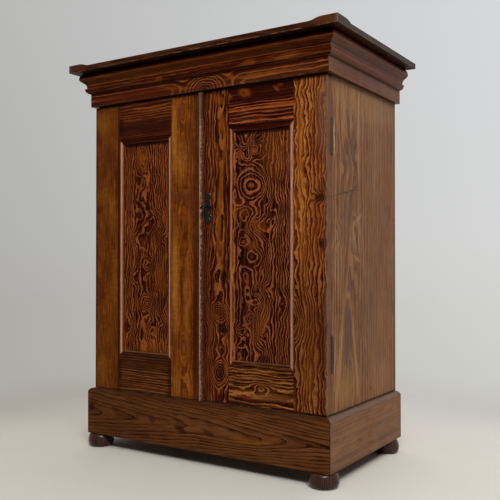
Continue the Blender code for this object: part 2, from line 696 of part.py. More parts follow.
def build_key():
    """A key with a ring bow that lies level, turned a quarter past where it goes in."""
    tip = DOOR_BACK + BOLT_BEHIND_DOOR + BOLT_THICK
    bow = FACE - KEY_BOW_REACH
    start = bow + KEY_BOW_RADIUS
    key = cylinder("key", (KEY_X, (start + tip) / 2, KEY_Z), Y, KEY_SHANK_RADIUS, tip - start,
                   HINGE_SIDES, "iron")
    bpy.ops.mesh.primitive_torus_add(major_segments=24, minor_segments=8, major_radius=KEY_BOW_RADIUS,
                                     minor_radius=KEY_BOW_WIRE, location=(KEY_X, bow, KEY_Z))
    ring = bpy.context.object
    ring.name = "key_bow"
    for group in ring.users_collection:
        group.objects.unlink(ring)
    SHAPES.objects.link(ring)
    ring.hide_render = True
    ring.display_type = "WIRE"
    bit = box("key_bit", (KEY_X, tip - SUNK / 2 - KEY_BIT_WIDTH, KEY_Z - KEY_BIT_THICK / 2),
              (KEY_X + KEY_BIT_REACH, tip - SUNK / 2, KEY_Z + KEY_BIT_THICK / 2))
    join(key, ring, bit)
    return key


def build_keeper():
    """A bent plate on the left door that the lock's bolt shoots into."""
    bolt_high = KEY_Z - BOLT_BELOW_KEY
    bolt_low = bolt_high - BOLT_HEIGHT
    low, high = bolt_low - KEEPER_ROOM, bolt_high + KEEPER_ROOM
    inside = BOLT_BEHIND_DOOR + BOLT_THICK + KEEPER_ROOM
    wall = KEEPER_WALL
    outline = [(TOUCH, low - wall - KEEPER_FLANGE), (TOUCH + wall, low - wall - KEEPER_FLANGE),
               (TOUCH + wall, low - wall), (inside + wall, low - wall), (inside + wall, high + wall),
               (TOUCH + wall, high + wall), (TOUCH + wall, high + wall + KEEPER_FLANGE),
               (TOUCH, high + wall + KEEPER_FLANGE), (TOUCH, high), (inside, high), (inside, low),
               (TOUCH, low)]
    right = -DOOR_EDGE - LOCK_EDGE
    return extrusion("bolt_keeper", outline, at(right - BOLT_THROW - KEEPER_SPARE), at(right), (X, Y, Z),
                     (0, DOOR_BACK, 0), "iron")


# Slide bolt

def build_slide_bolt(case_top):
    """A flat bolt in two guides at the top of the left door, and its notch in the case top."""
    middle = -DOOR_EDGE - SLIDE_INSET
    plate_high = CEILING_LEVEL - SLIDE_PLATE_DROP
    plate_low = plate_high - SLIDE_PLATE_HEIGHT
    face = DOOR_BACK + TOUCH
    half_plate, half_bar = SLIDE_PLATE_WIDTH / 2, SLIDE_BAR_WIDTH / 2
    plate = box("slide_bolt_plate", (middle - half_plate, face, plate_low),
                (middle + half_plate, face + SLIDE_PLATE_THICK, plate_high), "iron")
    bar_front = face + SLIDE_PLATE_THICK + TOUCH
    bar_back = bar_front + SLIDE_BAR_THICK
    wall = SLIDE_GUIDE_WALL
    for number, low in enumerate((plate_low + TOUCH, plate_high - SLIDE_GUIDE_HEIGHT - TOUCH)):
        guide = box(f"slide_guide_{number}", (middle - half_bar - wall, face + SUNK, low),
                    (middle + half_bar + wall, bar_back + wall, low + SLIDE_GUIDE_HEIGHT))
        join(plate, guide)
    cut(plate, box("slide_passage", (middle - half_bar - TOUCH, face + SLIDE_PLATE_THICK, plate_low - SUNK),
                   (middle + half_bar + TOUCH, bar_back + TOUCH, plate_high + SUNK)))

    bar_high = CEILING_LEVEL - SLIDE_BAR_DROP
    bar = box("slide_bolt", (middle - half_bar, bar_front, plate_low - SLIDE_TAIL),
              (middle + half_bar, bar_back, bar_high), "iron")
    knob_z = plate_low + SLIDE_GUIDE_HEIGHT + SLIDE_KNOB_RADIUS + 2 * TOUCH
    join(bar, cylinder("slide_knob", (middle, bar_back + SLIDE_KNOB_REACH / 2 - SUNK, knob_z), Y,
                       SLIDE_KNOB_RADIUS, SLIDE_KNOB_REACH, HINGE_SIDES))

    room = SLIDE_NOTCH_ROOM
    notch_top = bar_high + SLIDE_THROW + room
    cut(case_top, box("slide_notch", (middle - half_bar - room, CASE_FRONT - SUNK, CEILING_LEVEL - SUNK),
                      (middle + half_bar + room, bar_back + room, notch_top)))
    return plate, bar


def build():
    """Make the whole cupboard."""
    build_plinth()
    sides, case_top = build_case()
    build_cornice()

    axes = {}
    doors = {}
    for side, sign in (("left", -1), ("right", 1)):
        stiles, pieces = build_door(side, sign, "gold_pine" if sign < 0 else "dark_pine")
        for level, low in (("lower", DOOR_LOW + HINGE_INSET),
                           ("upper", DOOR_HIGH - HINGE_INSET - HINGE_LENGTH)):
            leaves = build_hinge(side, sign, level, low, stiles["hinge_stile"], sides[sign])
            pieces.append(leaves["door"])
        doors[side] = (stiles, pieces)

    lock_case, lock_bolt, plate = build_lock(doors["right"][0]["meeting_stile"])
    doors["right"][1].extend([build_strip(), lock_case, plate])
    slide_plate, slide_bolt = build_slide_bolt(case_top)
    doors["left"][1].extend([build_keeper(), slide_plate])
    key = build_key()

    for side, sign in (("left", -1), ("right", 1)):
        axes[side] = hang(f"{side}_door_axis", (sign * HINGE_X, HINGE_Y, 0), doors[side][1])
    hang("key_axis", (KEY_X, FACE, KEY_Z), [key], axes["right"])
    hang("lock_bolt_slide", lock_bolt.location.copy(), [lock_bolt], axes["right"])
    hang("slide_bolt_slide", slide_bolt.location.copy(), [slide_bolt], axes["left"])


for old in list(bpy.data.objects):
    bpy.data.objects.remove(old, do_unlink=True)
PIECES = collection("cupboard")
SHAPES = collection("cutters")
build()
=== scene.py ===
"""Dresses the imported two-door cupboard: figured pine, mouldings, ironwork, pale floor, light and camera.

Metres, +Z up, front towards -Y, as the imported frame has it.  Boards take their figure from a model of
how they were sawn: growth rings counted from the heart of the tree, bent by slow drift, curl and eyes.
"""

import math

import bmesh
import bpy
import numpy as np
from bpy.props import FloatProperty, FloatVectorProperty, PointerProperty
from bpy.types import Operator, Panel, PropertyGroup
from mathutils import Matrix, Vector


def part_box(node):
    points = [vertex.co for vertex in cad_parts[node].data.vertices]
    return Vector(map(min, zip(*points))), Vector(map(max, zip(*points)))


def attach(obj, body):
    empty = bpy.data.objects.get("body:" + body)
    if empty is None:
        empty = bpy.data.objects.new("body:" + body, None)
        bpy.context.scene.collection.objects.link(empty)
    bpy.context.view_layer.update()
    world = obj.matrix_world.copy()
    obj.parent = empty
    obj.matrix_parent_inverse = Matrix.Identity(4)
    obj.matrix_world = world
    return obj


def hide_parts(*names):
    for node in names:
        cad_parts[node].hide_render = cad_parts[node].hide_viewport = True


bl_info = {
    "name": "Two-Door Pine Cupboard",
    "version": (1, 0, 0),
    "blender": (4, 5, 0),
    "location": "View3D > Sidebar > Cupboard",
    "description": "Wood, mouldings, ironwork and stage for a two-door pine cupboard",
    "category": "Object",
}

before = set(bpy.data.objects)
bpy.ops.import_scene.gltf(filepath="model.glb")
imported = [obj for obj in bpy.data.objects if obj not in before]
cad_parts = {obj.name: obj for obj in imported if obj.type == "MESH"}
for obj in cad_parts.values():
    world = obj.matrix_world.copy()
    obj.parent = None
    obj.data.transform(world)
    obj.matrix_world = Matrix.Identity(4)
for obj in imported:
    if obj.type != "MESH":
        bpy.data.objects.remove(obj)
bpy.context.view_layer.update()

# Planes and places that the pieces share
DOOR_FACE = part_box("left_hinge_stile")[0].y
CASE_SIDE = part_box("side_right")[1].x
KEY_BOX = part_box("key")
MITRE_GAP = 0.00045     # between two mitred ends
SEAT_GAP = 0.0003       # between two pieces that touch
CREASE = 32.0           # degrees between faces from which an edge is sharp
QUARTER = math.pi / 2
SIDES = (("left", -1), ("right", 1))

# Finishes: name, place, then the light line of a growth ring, the ground and the dark line
FINISHES = {
    "dark": ("Dark pine", "stained doors and cornice",
             (0.500, 0.215, 0.062), (0.092, 0.0122, 0.0028), (0.013, 0.0009, 0.0003)),
    "brown": ("Brown pine", "front of the plinth",
              (0.215, 0.086, 0.026), (0.140, 0.048, 0.013), (0.024, 0.0050, 0.0014)),
    "gold": ("Golden pine", "stiles of the left door",
             (0.340, 0.110, 0.011), (0.175, 0.043, 0.0035), (0.070, 0.010, 0.001)),
    "red": ("Red pine", "outer stile of the right door",
            (0.520, 0.225, 0.036), (0.205, 0.042, 0.006), (0.022, 0.0017, 0.0005)),
    "bead": ("Worn pine", "bead over the meeting edges, where much of the stain is gone",
             (0.700, 0.500, 0.390), (0.210, 0.100, 0.055), (0.040, 0.012, 0.005)),
    "case": ("Case pine", "sides of the case, cornice and plinth",
             (0.430, 0.190, 0.062), (0.235, 0.080, 0.018), (0.105, 0.026, 0.0035)),
    "raw": ("Bare pine", "inside, shelves and back",
            (0.430, 0.300, 0.165), (0.360, 0.235, 0.120), (0.230, 0.130, 0.060)),
    "foot": ("Foot", "turned feet",
             (0.080, 0.024, 0.010), (0.028, 0.0072, 0.0032), (0.009, 0.0018, 0.0010)),
}
TONES = {"light": "light line", "middle": "ground", "deep": "dark line"}


def length(name, description, default):
    """A size in metres that a user can change."""
    return FloatProperty(name=name, description=description, default=default, min=0.0,
                         subtype="DISTANCE", unit="LENGTH", precision=4)


def number(name, description, default, least=0.0, most=10.0):
    """A plain number that a user can change."""
    return FloatProperty(name=name, description=description, default=default, min=least, max=most)


def colour(name, description, default):
    """A linear colour that a user can change."""
    return FloatVectorProperty(name=name, description=description, default=default, size=3,
                               min=0.0, max=1.0, subtype="COLOR")


class CupboardWood(PropertyGroup):
    """Worn edges, and the colours of each finish, from the light line of a growth ring to the dark one."""

    worn: colour("Worn edges", "Where the stain has rubbed off an edge", (0.290, 0.160, 0.090))
    edge_round: length("Eased edge", "Radius of the eased edges of new boards", 0.0009)
    wear_width: length("Wear width", "How far an edge's wear reaches", 0.0035)


CupboardWood.__annotations__.update({
    f"{finish}_{tone}": colour(f"{name}, {line}", f"Colour of the {line} on the {place}", value)
    for finish, (name, place, *values) in FINISHES.items()
    for (tone, line), value in zip(TONES.items(), values)})


class CupboardShapes(PropertyGroup):
    """Sizes of the mouldings, the bead, the feet and the top board."""

    frieze_out: length("Frieze overhang", "Frieze in front of the door faces", 0.012)
    bead_out: length("Cornice bead overhang", "Lowest bead in front of the door faces", 0.0265)
    groove_out: length("Cornice groove overhang", "Quirk above the bead", 0.0205)
    fillet_out: length("Cornice fillet overhang", "Top of the fillet", 0.0225)
    crown_out: length("Crown overhang", "Widest part of the crown", 0.0405)
    crown_top_out: length("Crown top overhang", "Where the crown meets the top board", 0.026)
    bead_top: length("Cornice bead height", "Height of the lowest bead", 0.0166)
    fillet_top: length("Cornice fillet height", "Height of the fillet's upper edge", 0.0266)
    belly: length("Crown belly height", "Height of the crown's widest part", 0.0477)
    plinth_round: length("Plinth round", "Height of the plinth's rounded upper edge", 0.0125)
    plinth_flat: length("Plinth flat", "Flat of the plinth's top in front of the door faces", 0.0010)
    plinth_foot_round: length("Plinth lower round", "Radius of the plinth's lower edge", 0.004)
    plinth_board: length("Plinth board", "Thickness of the plinth", 0.018)
    ear_rise: length("Ear rise", "Height of the raised front corners", 0.0077)
    ear_front: length("Ear along the front", "Length of a raised corner along the front", 0.088)
    ear_side: length("Ear along the side", "Length of a raised corner along the side", 0.080)
    ear_slope: length("Ear slope", "Length of the front's curve that falls from a raised corner", 0.038)
    ear_curve: length("Ear curve", "Length of the side's round that falls from a raised corner", 0.050)
    top_round: length("Top board's edge", "Radius of the top board's edges", 0.0032)
    strip_square: length("Square head of the bead", "Plain length at the meeting bead's top", 0.065)
    strip_tongue: length("Tongue of the bead", "Length over which the bead turns square", 0.032)
    foot_belly: length("Foot belly", "Height of a foot's widest part", 0.0175)
    foot_top: length("Foot top", "Radius of a foot's upper face", 0.033)
    foot_base: length("Foot base", "Radius of a foot's lower face", 0.029)
    foot_round: length("Foot width", "Greatest radius of a foot", 0.0425)


class CupboardIron(PropertyGroup):
    """Sizes and colour of the ironwork."""

    iron: colour("Iron", "Dark aged iron", (0.028, 0.026, 0.023))
    rust: colour("Rust", "Brown bloom on the iron", (0.036, 0.020, 0.013))
    # The hinges' dark colour is partly old stain and dirt, partly painted shade on the knuckles and their
    # slot.
    painted: colour("Stained hinge", "Hinge iron under old stain and dirt", (0.042, 0.030, 0.018))
    plate: length("Escutcheon plate", "Thickness of the plate between its bosses", 0.0010)
    boss: length("Escutcheon bosses", "Height of the bosses above the plate", 0.0022)
    keyhole: length("Keyhole radius", "Round part of the keyhole", 0.0031)
    bow: length("Key bow", "Radius of the bow's middle line", 0.0096)
    bow_wire: length("Key bow thickness", "Radius of the bow's rim", 0.0025)
    bow_tilt: number("Key bow's tilt", "Turn of the bow from level, in degrees", 17.0, -90.0, 90.0)
    shank: length("Key shank", "Radius of the shank", 0.0025)
    bow_reach: length("Bow in front of the door", "From the door's face to the bow's middle", 0.023)
    hinge_pin_out: length("Hinge axis", "Hinge axis outside the case's side", 0.0008)
    knuckle: length("Hinge knuckle", "Radius of a hinge's knuckle", 0.004)
    leaf: length("Hinge leaf", "Thickness of a hinge's leaf", 0.0012)
    leaf_width: length("Hinge leaf width", "Width of a hinge's leaf in the wood", 0.017)
    finial: length("Hinge finial", "Radius of the ball at each end of a hinge", 0.0034)
    screw: length("Screw head", "Radius of a screw's head", 0.0028)


class CupboardStage(PropertyGroup):
    """Floor, backdrop, camera and lamps."""

    # The floor's colour is darker at the left than at the right: painted shade, as the light falls from
    # the right.
    floor_left: colour("Floor, left", "Pale floor at the left of the cupboard", (0.655, 0.607, 0.528))
    floor_right: colour("Floor, right", "Pale floor at the right of the cupboard", (0.750, 0.718, 0.655))
    flat: length("Flat floor", "From the middle of the floor to where it starts to rise", 2.6)
    rise: length("Backdrop", "Height of the backdrop", 5.0)
    camera: FloatVectorProperty(name="Camera", description="Place of the camera", size=3,
                                subtype="TRANSLATION", unit="LENGTH", default=(1.3464, -2.0163, 0.6263))
    heading: number("Heading", "Camera's turn from straight ahead, in radians", 0.5752, -3.2, 3.2)
    tilt: number("Tilt", "Camera's upward tilt, in radians", 0.0117, -1.6, 1.6)
    roll: number("Roll", "Camera's roll, in radians", -0.0003, -1.6, 1.6)
    lens: number("Lens", "Focal length in millimetres on a sensor of 36 mm", 52.74, 10.0, 200.0)
    ceiling: number("Ceiling", "Strength of the soft light from above", 0.85, 0.0, 5.0)
    main_power: number("Main lamp", "Power of the large lamp in front at the right, in watts",
                       360.0, 0.0, 2000.0)
    main_size: length("Main lamp's side", "Side of the large square lamp", 2.4)


def settings(group):
    """One of the property groups kept on the scene."""
    return getattr(bpy.context.scene, f"cupboard_{group}")


# Surfaces

def arc(centre, radii, first, last, steps):
    """Points on an ellipse: the centre plus the radii times the cosine and sine of even angles."""
    angle = np.radians(np.linspace(first, last, steps + 1))
    return np.stack([centre[0] + radii[0] * np.cos(angle), centre[1] + radii[1] * np.sin(angle)], axis=1)


def smooth_step(share):
    """0 to 1 along half a cosine wave, flat outside."""
    return (1 - np.cos(np.pi * np.clip(share, 0.0, 1.0))) / 2


def lattice(points, around=False, ring=False, capped=False):
    """A grid of points [along, across] and its faces: quads between neighbours, joined up across the
    last and first point of each row if around is set, along if ring is set, with flat ends if capped."""
    rows, columns = points.shape[:2]
    index = np.arange(rows * columns).reshape(rows, columns)
    here = index if ring else index[:-1]
    ahead = np.roll(index, -1, axis=0) if ring else index[1:]
    if around:
        beside, ahead_beside = np.roll(here, -1, axis=1), np.roll(ahead, -1, axis=1)
    else:
        here, beside = here[:, :-1], here[:, 1:]
        ahead, ahead_beside = ahead[:, :-1], ahead[:, 1:]
    faces = np.stack([here, beside, ahead_beside, ahead], axis=-1).reshape(-1, 4).tolist()
    if capped:
        faces += [index[0, ::-1].tolist(), index[-1].tolist()]
    return points.reshape(-1, 3), faces


def sweep(outline, start, end, axes, origin, steps=1):
    """An outline of (out, up) points carried straight along: each point runs from start to end, which
    are functions of its own out and up, so an end can be mitred."""
    along, out, up = (np.array(axis, dtype=float) for axis in axes)
    outline = np.asarray(outline, dtype=float)
    first, last = start(outline[:, 0], outline[:, 1]), end(outline[:, 0], outline[:, 1])
    share = np.linspace(0.0, 1.0, steps + 1)[:, None]
    reach = (first + (last - first) * share)[..., None] * along
    across = outline[:, :1] * out + outline[:, 1:] * up
    return lattice(np.array(origin, dtype=float) + reach + across, around=True, capped=True)


def square_end(distance):
    """An end that stands square, for sweep."""
    return lambda out, up: np.full_like(out, distance)


def block(low, high):
    """A box between two corners, as a rectangle carried upwards."""
    (x0, y0, z0), (x1, y1, z1) = low, high
    outline = [(x0, y0), (x1, y0), (x1, y1), (x0, y1)]
    return sweep(outline, square_end(z0), square_end(z1), ((0, 0, 1), (1, 0, 0), (0, 1, 0)), (0, 0, 0))


def turned(profile, centre, axis="Z", sides=48):
    """A turned shape: each (radius, distance along the axis) point of a profile goes once round."""
    profile = np.asarray(profile, dtype=float)
    angle = np.linspace(0.0, 2 * np.pi, sides, endpoint=False)
    flat = [profile[:, :1] * np.cos(angle), profile[:, :1] * np.sin(angle),
            np.repeat(profile[:, 1:], sides, axis=1)]
    order = {"Z": (0, 1, 2), "Y": (0, 2, 1)}[axis]
    points = np.stack([flat[place] for place in order], axis=-1) + np.array(centre, dtype=float)
    return lattice(points, around=True, capped=True)


def piece(name, shells, material, body, nodes, ease=0.0, crease=CREASE, segments=2):
    """One finished piece from closed shells: poles closed, faces outwards, edges eased, riding a body."""
    whole = bmesh.new()
    for points, faces in shells:
        part = bpy.data.meshes.new(name)
        part.from_pydata(np.asarray(points).tolist(), [], faces)
        shell = bmesh.new()
        shell.from_mesh(part)
        bmesh.ops.remove_doubles(shell, verts=shell.verts, dist=1e-7)
        if shell.calc_volume(signed=True) < 0:
            bmesh.ops.reverse_faces(shell, faces=shell.faces)
        shell.to_mesh(part)
        shell.free()
        whole.from_mesh(part)
        bpy.data.meshes.remove(part)
    return finish_mesh(name, whole, material, body, nodes, ease, crease, segments)


def eased_copy(name, node, material, body, ease):
    """A copy of a CAD solid, its triangles merged into whole faces and its edges rounded."""
    whole = bmesh.new()
    whole.from_mesh(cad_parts[node].data)
    bmesh.ops.remove_doubles(whole, verts=whole.verts, dist=1e-5)
    bmesh.ops.dissolve_limit(whole, angle_limit=math.radians(0.4), verts=whole.verts, edges=whole.edges)
    return finish_mesh(name, whole, material, body, (node,), ease)


def finish_mesh(name, whole, material, body, nodes, ease, crease=CREASE, segments=2):
    """Turn a bmesh into an object with smooth faces, sharp creases and eased edges, and ride it."""
    mesh = bpy.data.meshes.new(name)
    whole.to_mesh(mesh)
    whole.free()
    mesh.shade_smooth()
    mesh.set_sharp_from_angle(angle=math.radians(crease))
    mesh.materials.append(material)
    obj = bpy.data.objects.new(name, mesh)
    bpy.context.scene.collection.objects.link(obj)
    if ease:
        rounding = obj.modifiers.new("eased edges", "BEVEL")
        rounding.width = ease
        rounding.segments = segments
        rounding.limit_method = "ANGLE"
        rounding.angle_limit = math.radians(crease)
        rounding.harden_normals = True
    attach(obj, body)
    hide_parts(*nodes)
    return obj


# Materials

class Recipe:
    """Adds shader nodes to a new material; each method returns the new node's output."""

    def __init__(self, name):
        self.material = bpy.data.materials.new(name)
        self.material.use_nodes = True
        self.tree = self.material.node_tree
        self.shader = self.tree.nodes["Principled BSDF"]
        self.place = self.add("ShaderNodeTexCoord", output="Object")

    def add(self, kind, inputs=(), output=0, **options):
        """A new node with its options set and its inputs filled."""
        node = self.tree.nodes.new(kind)
        for option, value in options.items():
            setattr(node, option, value)
        for key, value in dict(inputs).items():
            self.put(node.inputs[key], value)
        return node.outputs[output]

    def put(self, socket, value):
        """Fills a socket, with a link or a plain value."""
        if isinstance(value, bpy.types.NodeSocket):
            self.tree.links.new(value, socket)
        else:
            socket.default_value = value

    def math(self, operation, *values):
        return self.add("ShaderNodeMath", enumerate(values), operation=operation)

    def vector(self, operation, *values, output=0):
        return self.add("ShaderNodeVectorMath", enumerate(values), output, operation=operation)

    def mapped(self, source, centre, turn, size=(1, 1, 1)):
        """Coordinates counted from a centre, along turned axes, in units of a size."""
        return self.add("ShaderNodeMapping", {"Vector": source, "Location": centre, "Rotation": turn,
                                              "Scale": size}, vector_type="TEXTURE")

    def noise(self, source, size, seed, detail, roughness, output="Fac"):
        """Soft noise whose lumps have a size along each axis; the seed moves it away from the others."""
        where = self.mapped(source, (seed * 0.731, seed * 0.397, seed * 0.913), (0, 0, 0), size)
        return self.add("ShaderNodeTexNoise", {"Vector": where, "Scale": 1.0, "Detail": detail,
                                               "Roughness": roughness}, output)

    def between(self, value, low, high, start=0.0, end=1.0):
        """Carries a value from one range to another, held at both ends."""
        return self.add("ShaderNodeMapRange", {"Value": value, "From Min": low, "From Max": high,
                                               "To Min": start, "To Max": end}, clamp=True)

    def ramp(self, factor, stops):
        """A colour that changes with a factor through (place, colour) stops."""
        result = self.add("ShaderNodeValToRGB", {0: factor})
        elements = result.node.color_ramp.elements
        for element, (where, tint) in zip(elements, (stops[0], stops[-1])):
            element.position = where
            element.color = (*tint, 1.0)
        for where, tint in stops[1:-1]:
            elements.new(where).color = (*tint, 1.0)
        return result

    def blend(self, factor, first, second, mode="MIX"):
        """Mixes two colours; the Mix node has them in its inputs 6 and 7 and its output 2."""
        tints = [value if isinstance(value, bpy.types.NodeSocket) else (*value, 1.0)
                 for value in (first, second)]
        return self.add("ShaderNodeMix", {0: factor, 6: tints[0], 7: tints[1]}, 2, data_type="RGBA",
                        blend_type=mode)

    def bump(self, height, strength, distance):
        """Gives the surface a fine relief."""
        self.put(self.shader.inputs["Normal"], self.add(
            "ShaderNodeBump", {"Strength": strength, "Distance": distance, "Height": height}))


# Turns that bring a board's own axes (across, depth, along the grain) onto the cupboard's
GRAIN_TURN = {
    "up": (0, 0, 0),
    "across": (0, QUARTER, 0),
    "side_up": (0, 0, QUARTER),
    "side_across": (0, QUARTER, QUARTER),
    "flat_across": (QUARTER, 0, QUARTER),
    "flat_deep": (-QUARTER, 0, 0),
}

PLAIN_BOARD = {
    "grain": "up",
    "face": "front",
    "heart": (20, 70),          # heart of the tree from the board's middle: across, behind
    "ring": 6.0,                # width of a growth ring
    "taper": 0.0,               # rings gained per metre along
    "drift": (6, 60, 400),      # how far the rings wander, and the wave's size across and along
    "wave": (0.8, 12, 26),      # a finer wave on top of it
    "curl": (0.0, 30, 50),      # rings in a hill or hollow, and its size across and along
    "stir": 5.0,                # how uneven the outlines of eyes and marks are
    "eyes": (),                 # (middle, radii, [tilt,] rings): hills and hollows of the rings
    "cores": (),                # (middle, ring widths, [tilt,] rings, first ring): closed rings
    # Marks and bands paint stains and knots, and also painted shade in gaps, quirks and under overhangs
    # and painted highlights along mouldings.
    "marks": (),                # (middle, radii, [tilt,] stain, strength), drawn in this order
    "bands": (),                # (axis, middle, half width, stain, strength), drawn on the marks
    "light": 0.30,              # share of a ring that is light
    "dark": 0.30,               # share of a ring that is dark
    "weight": 0.5,              # how much the lines swell and thin
    "contrast": 1.0,            # 0 for plain ground, 1 for full lines
    "fade": 0.3,                # how much the lines are lost in places
    "patch": 0.45,              # strength of the slow change in colour
    "patch_size": (90, 300),    # across and along
    "streak": 0.25,             # strength of the long streaks
    "streak_size": (5, 120),    # across and along
    "flame": 0.0,               # strength of the bars across the grain
    "fibre": 0.22,              # strength of the fine fibres
    "wear": 0.5,                # how far the edges are rubbed
    "gloss": 0.38,              # roughness
    "sheen": 0.045,             # strength of the reflection
    "tint": (1.0, 1.0, 1.0),    # what the board's colours are multiplied by
}

# Noises that a board's look is mixed from: lumps across, depth and along the grain in metres, what is
# added to the board's seed, detail, roughness, and the noise's values at the range's two ends
NOISES = {
    "swell": ((0.020, 0.020, 0.045), 6.2, 2.0, 0.5, 0.34, 0.66),    # where lines swell and thin
    "lost": ((0.024, 0.024, 0.055), 8.8, 2.0, 0.5, 0.50, 0.66),     # where lines are lost
    "flame": ((0.030, 0.030, 0.008), 2.6, 3.0, 0.55, 0.32, 0.68),   # bars across the grain
    "duct": ((0.0011, 0.0011, 0.014), 1.3, 1.0, 0.5, 0.66, 0.74),   # short dark resin ducts
    "rubbed": ((0.018, 0.018, 0.030), 5.0, 3.0, 0.65, 0.42, 0.62),  # where worn edges are bare
    "polish": ((0.05, 0.05, 0.09), 9.0, 3.0, 0.6, 0.3, 0.7),
}
STIR_LUMPS = (0.022, 0.022, 0.022)      # of the noise that makes the outlines of eyes and marks uneven
FIBRE_LUMPS = (0.0017, 0.0017, 0.050)
PATCH_SHADE = (0.42, 0.30, 0.26)    # what a full patch multiplies the ground by

# Colours of marks and bands: stains, knots and wear, and also painted shade in gaps, quirks and under
# overhangs, and painted highlights and reflections along mouldings and edges.
STAINS_AND_PAINTED_LIGHT = {
    # The second colour here darkens figure, and also paints shade in quirks, on mouldings that face down,
    # on the bead's flanks and under the top board.
    "knot": (0.012, 0.0025, 0.0010), "dusk_stain_and_shade": (0.030, 0.0040, 0.0013),
    "shade": (0.042, 0.0100, 0.0025), "rust": (0.115, 0.0220, 0.0055),
    "red": (0.165, 0.0300, 0.0065), "orange": (0.370, 0.1200, 0.0120),
    "amber": (0.370, 0.1350, 0.0130), "gold": (0.290, 0.1020, 0.0100),
    "tan": (0.215, 0.0800, 0.0200), "rubbed": (0.400, 0.1850, 0.0900),
    "brown": (0.110, 0.0520, 0.0320), "yellow": (0.340, 0.1650, 0.0420),
    "slate": (0.112, 0.0840, 0.0590), "dim": (0.060, 0.0220, 0.0080),
    # The blackest colour below is painted shade at the doors' and side's feet, under overhangs and behind
    # a hinge knuckle, and once a knot.
    "shade_and_knot_black": (0.006, 0.0010, 0.0004), "pink": (0.560, 0.3300, 0.2200),
    "grey": (0.205, 0.1120, 0.0520), "straw": (0.470, 0.2400, 0.0850),
    # The last colour here paints highlights along moulding rounds and the meeting bead, and bare worn wood
    # beside a hinge.
    "ground": (0.235, 0.0850, 0.0200), "cream_highlight_and_wear": (0.900, 0.5000, 0.2700),
}

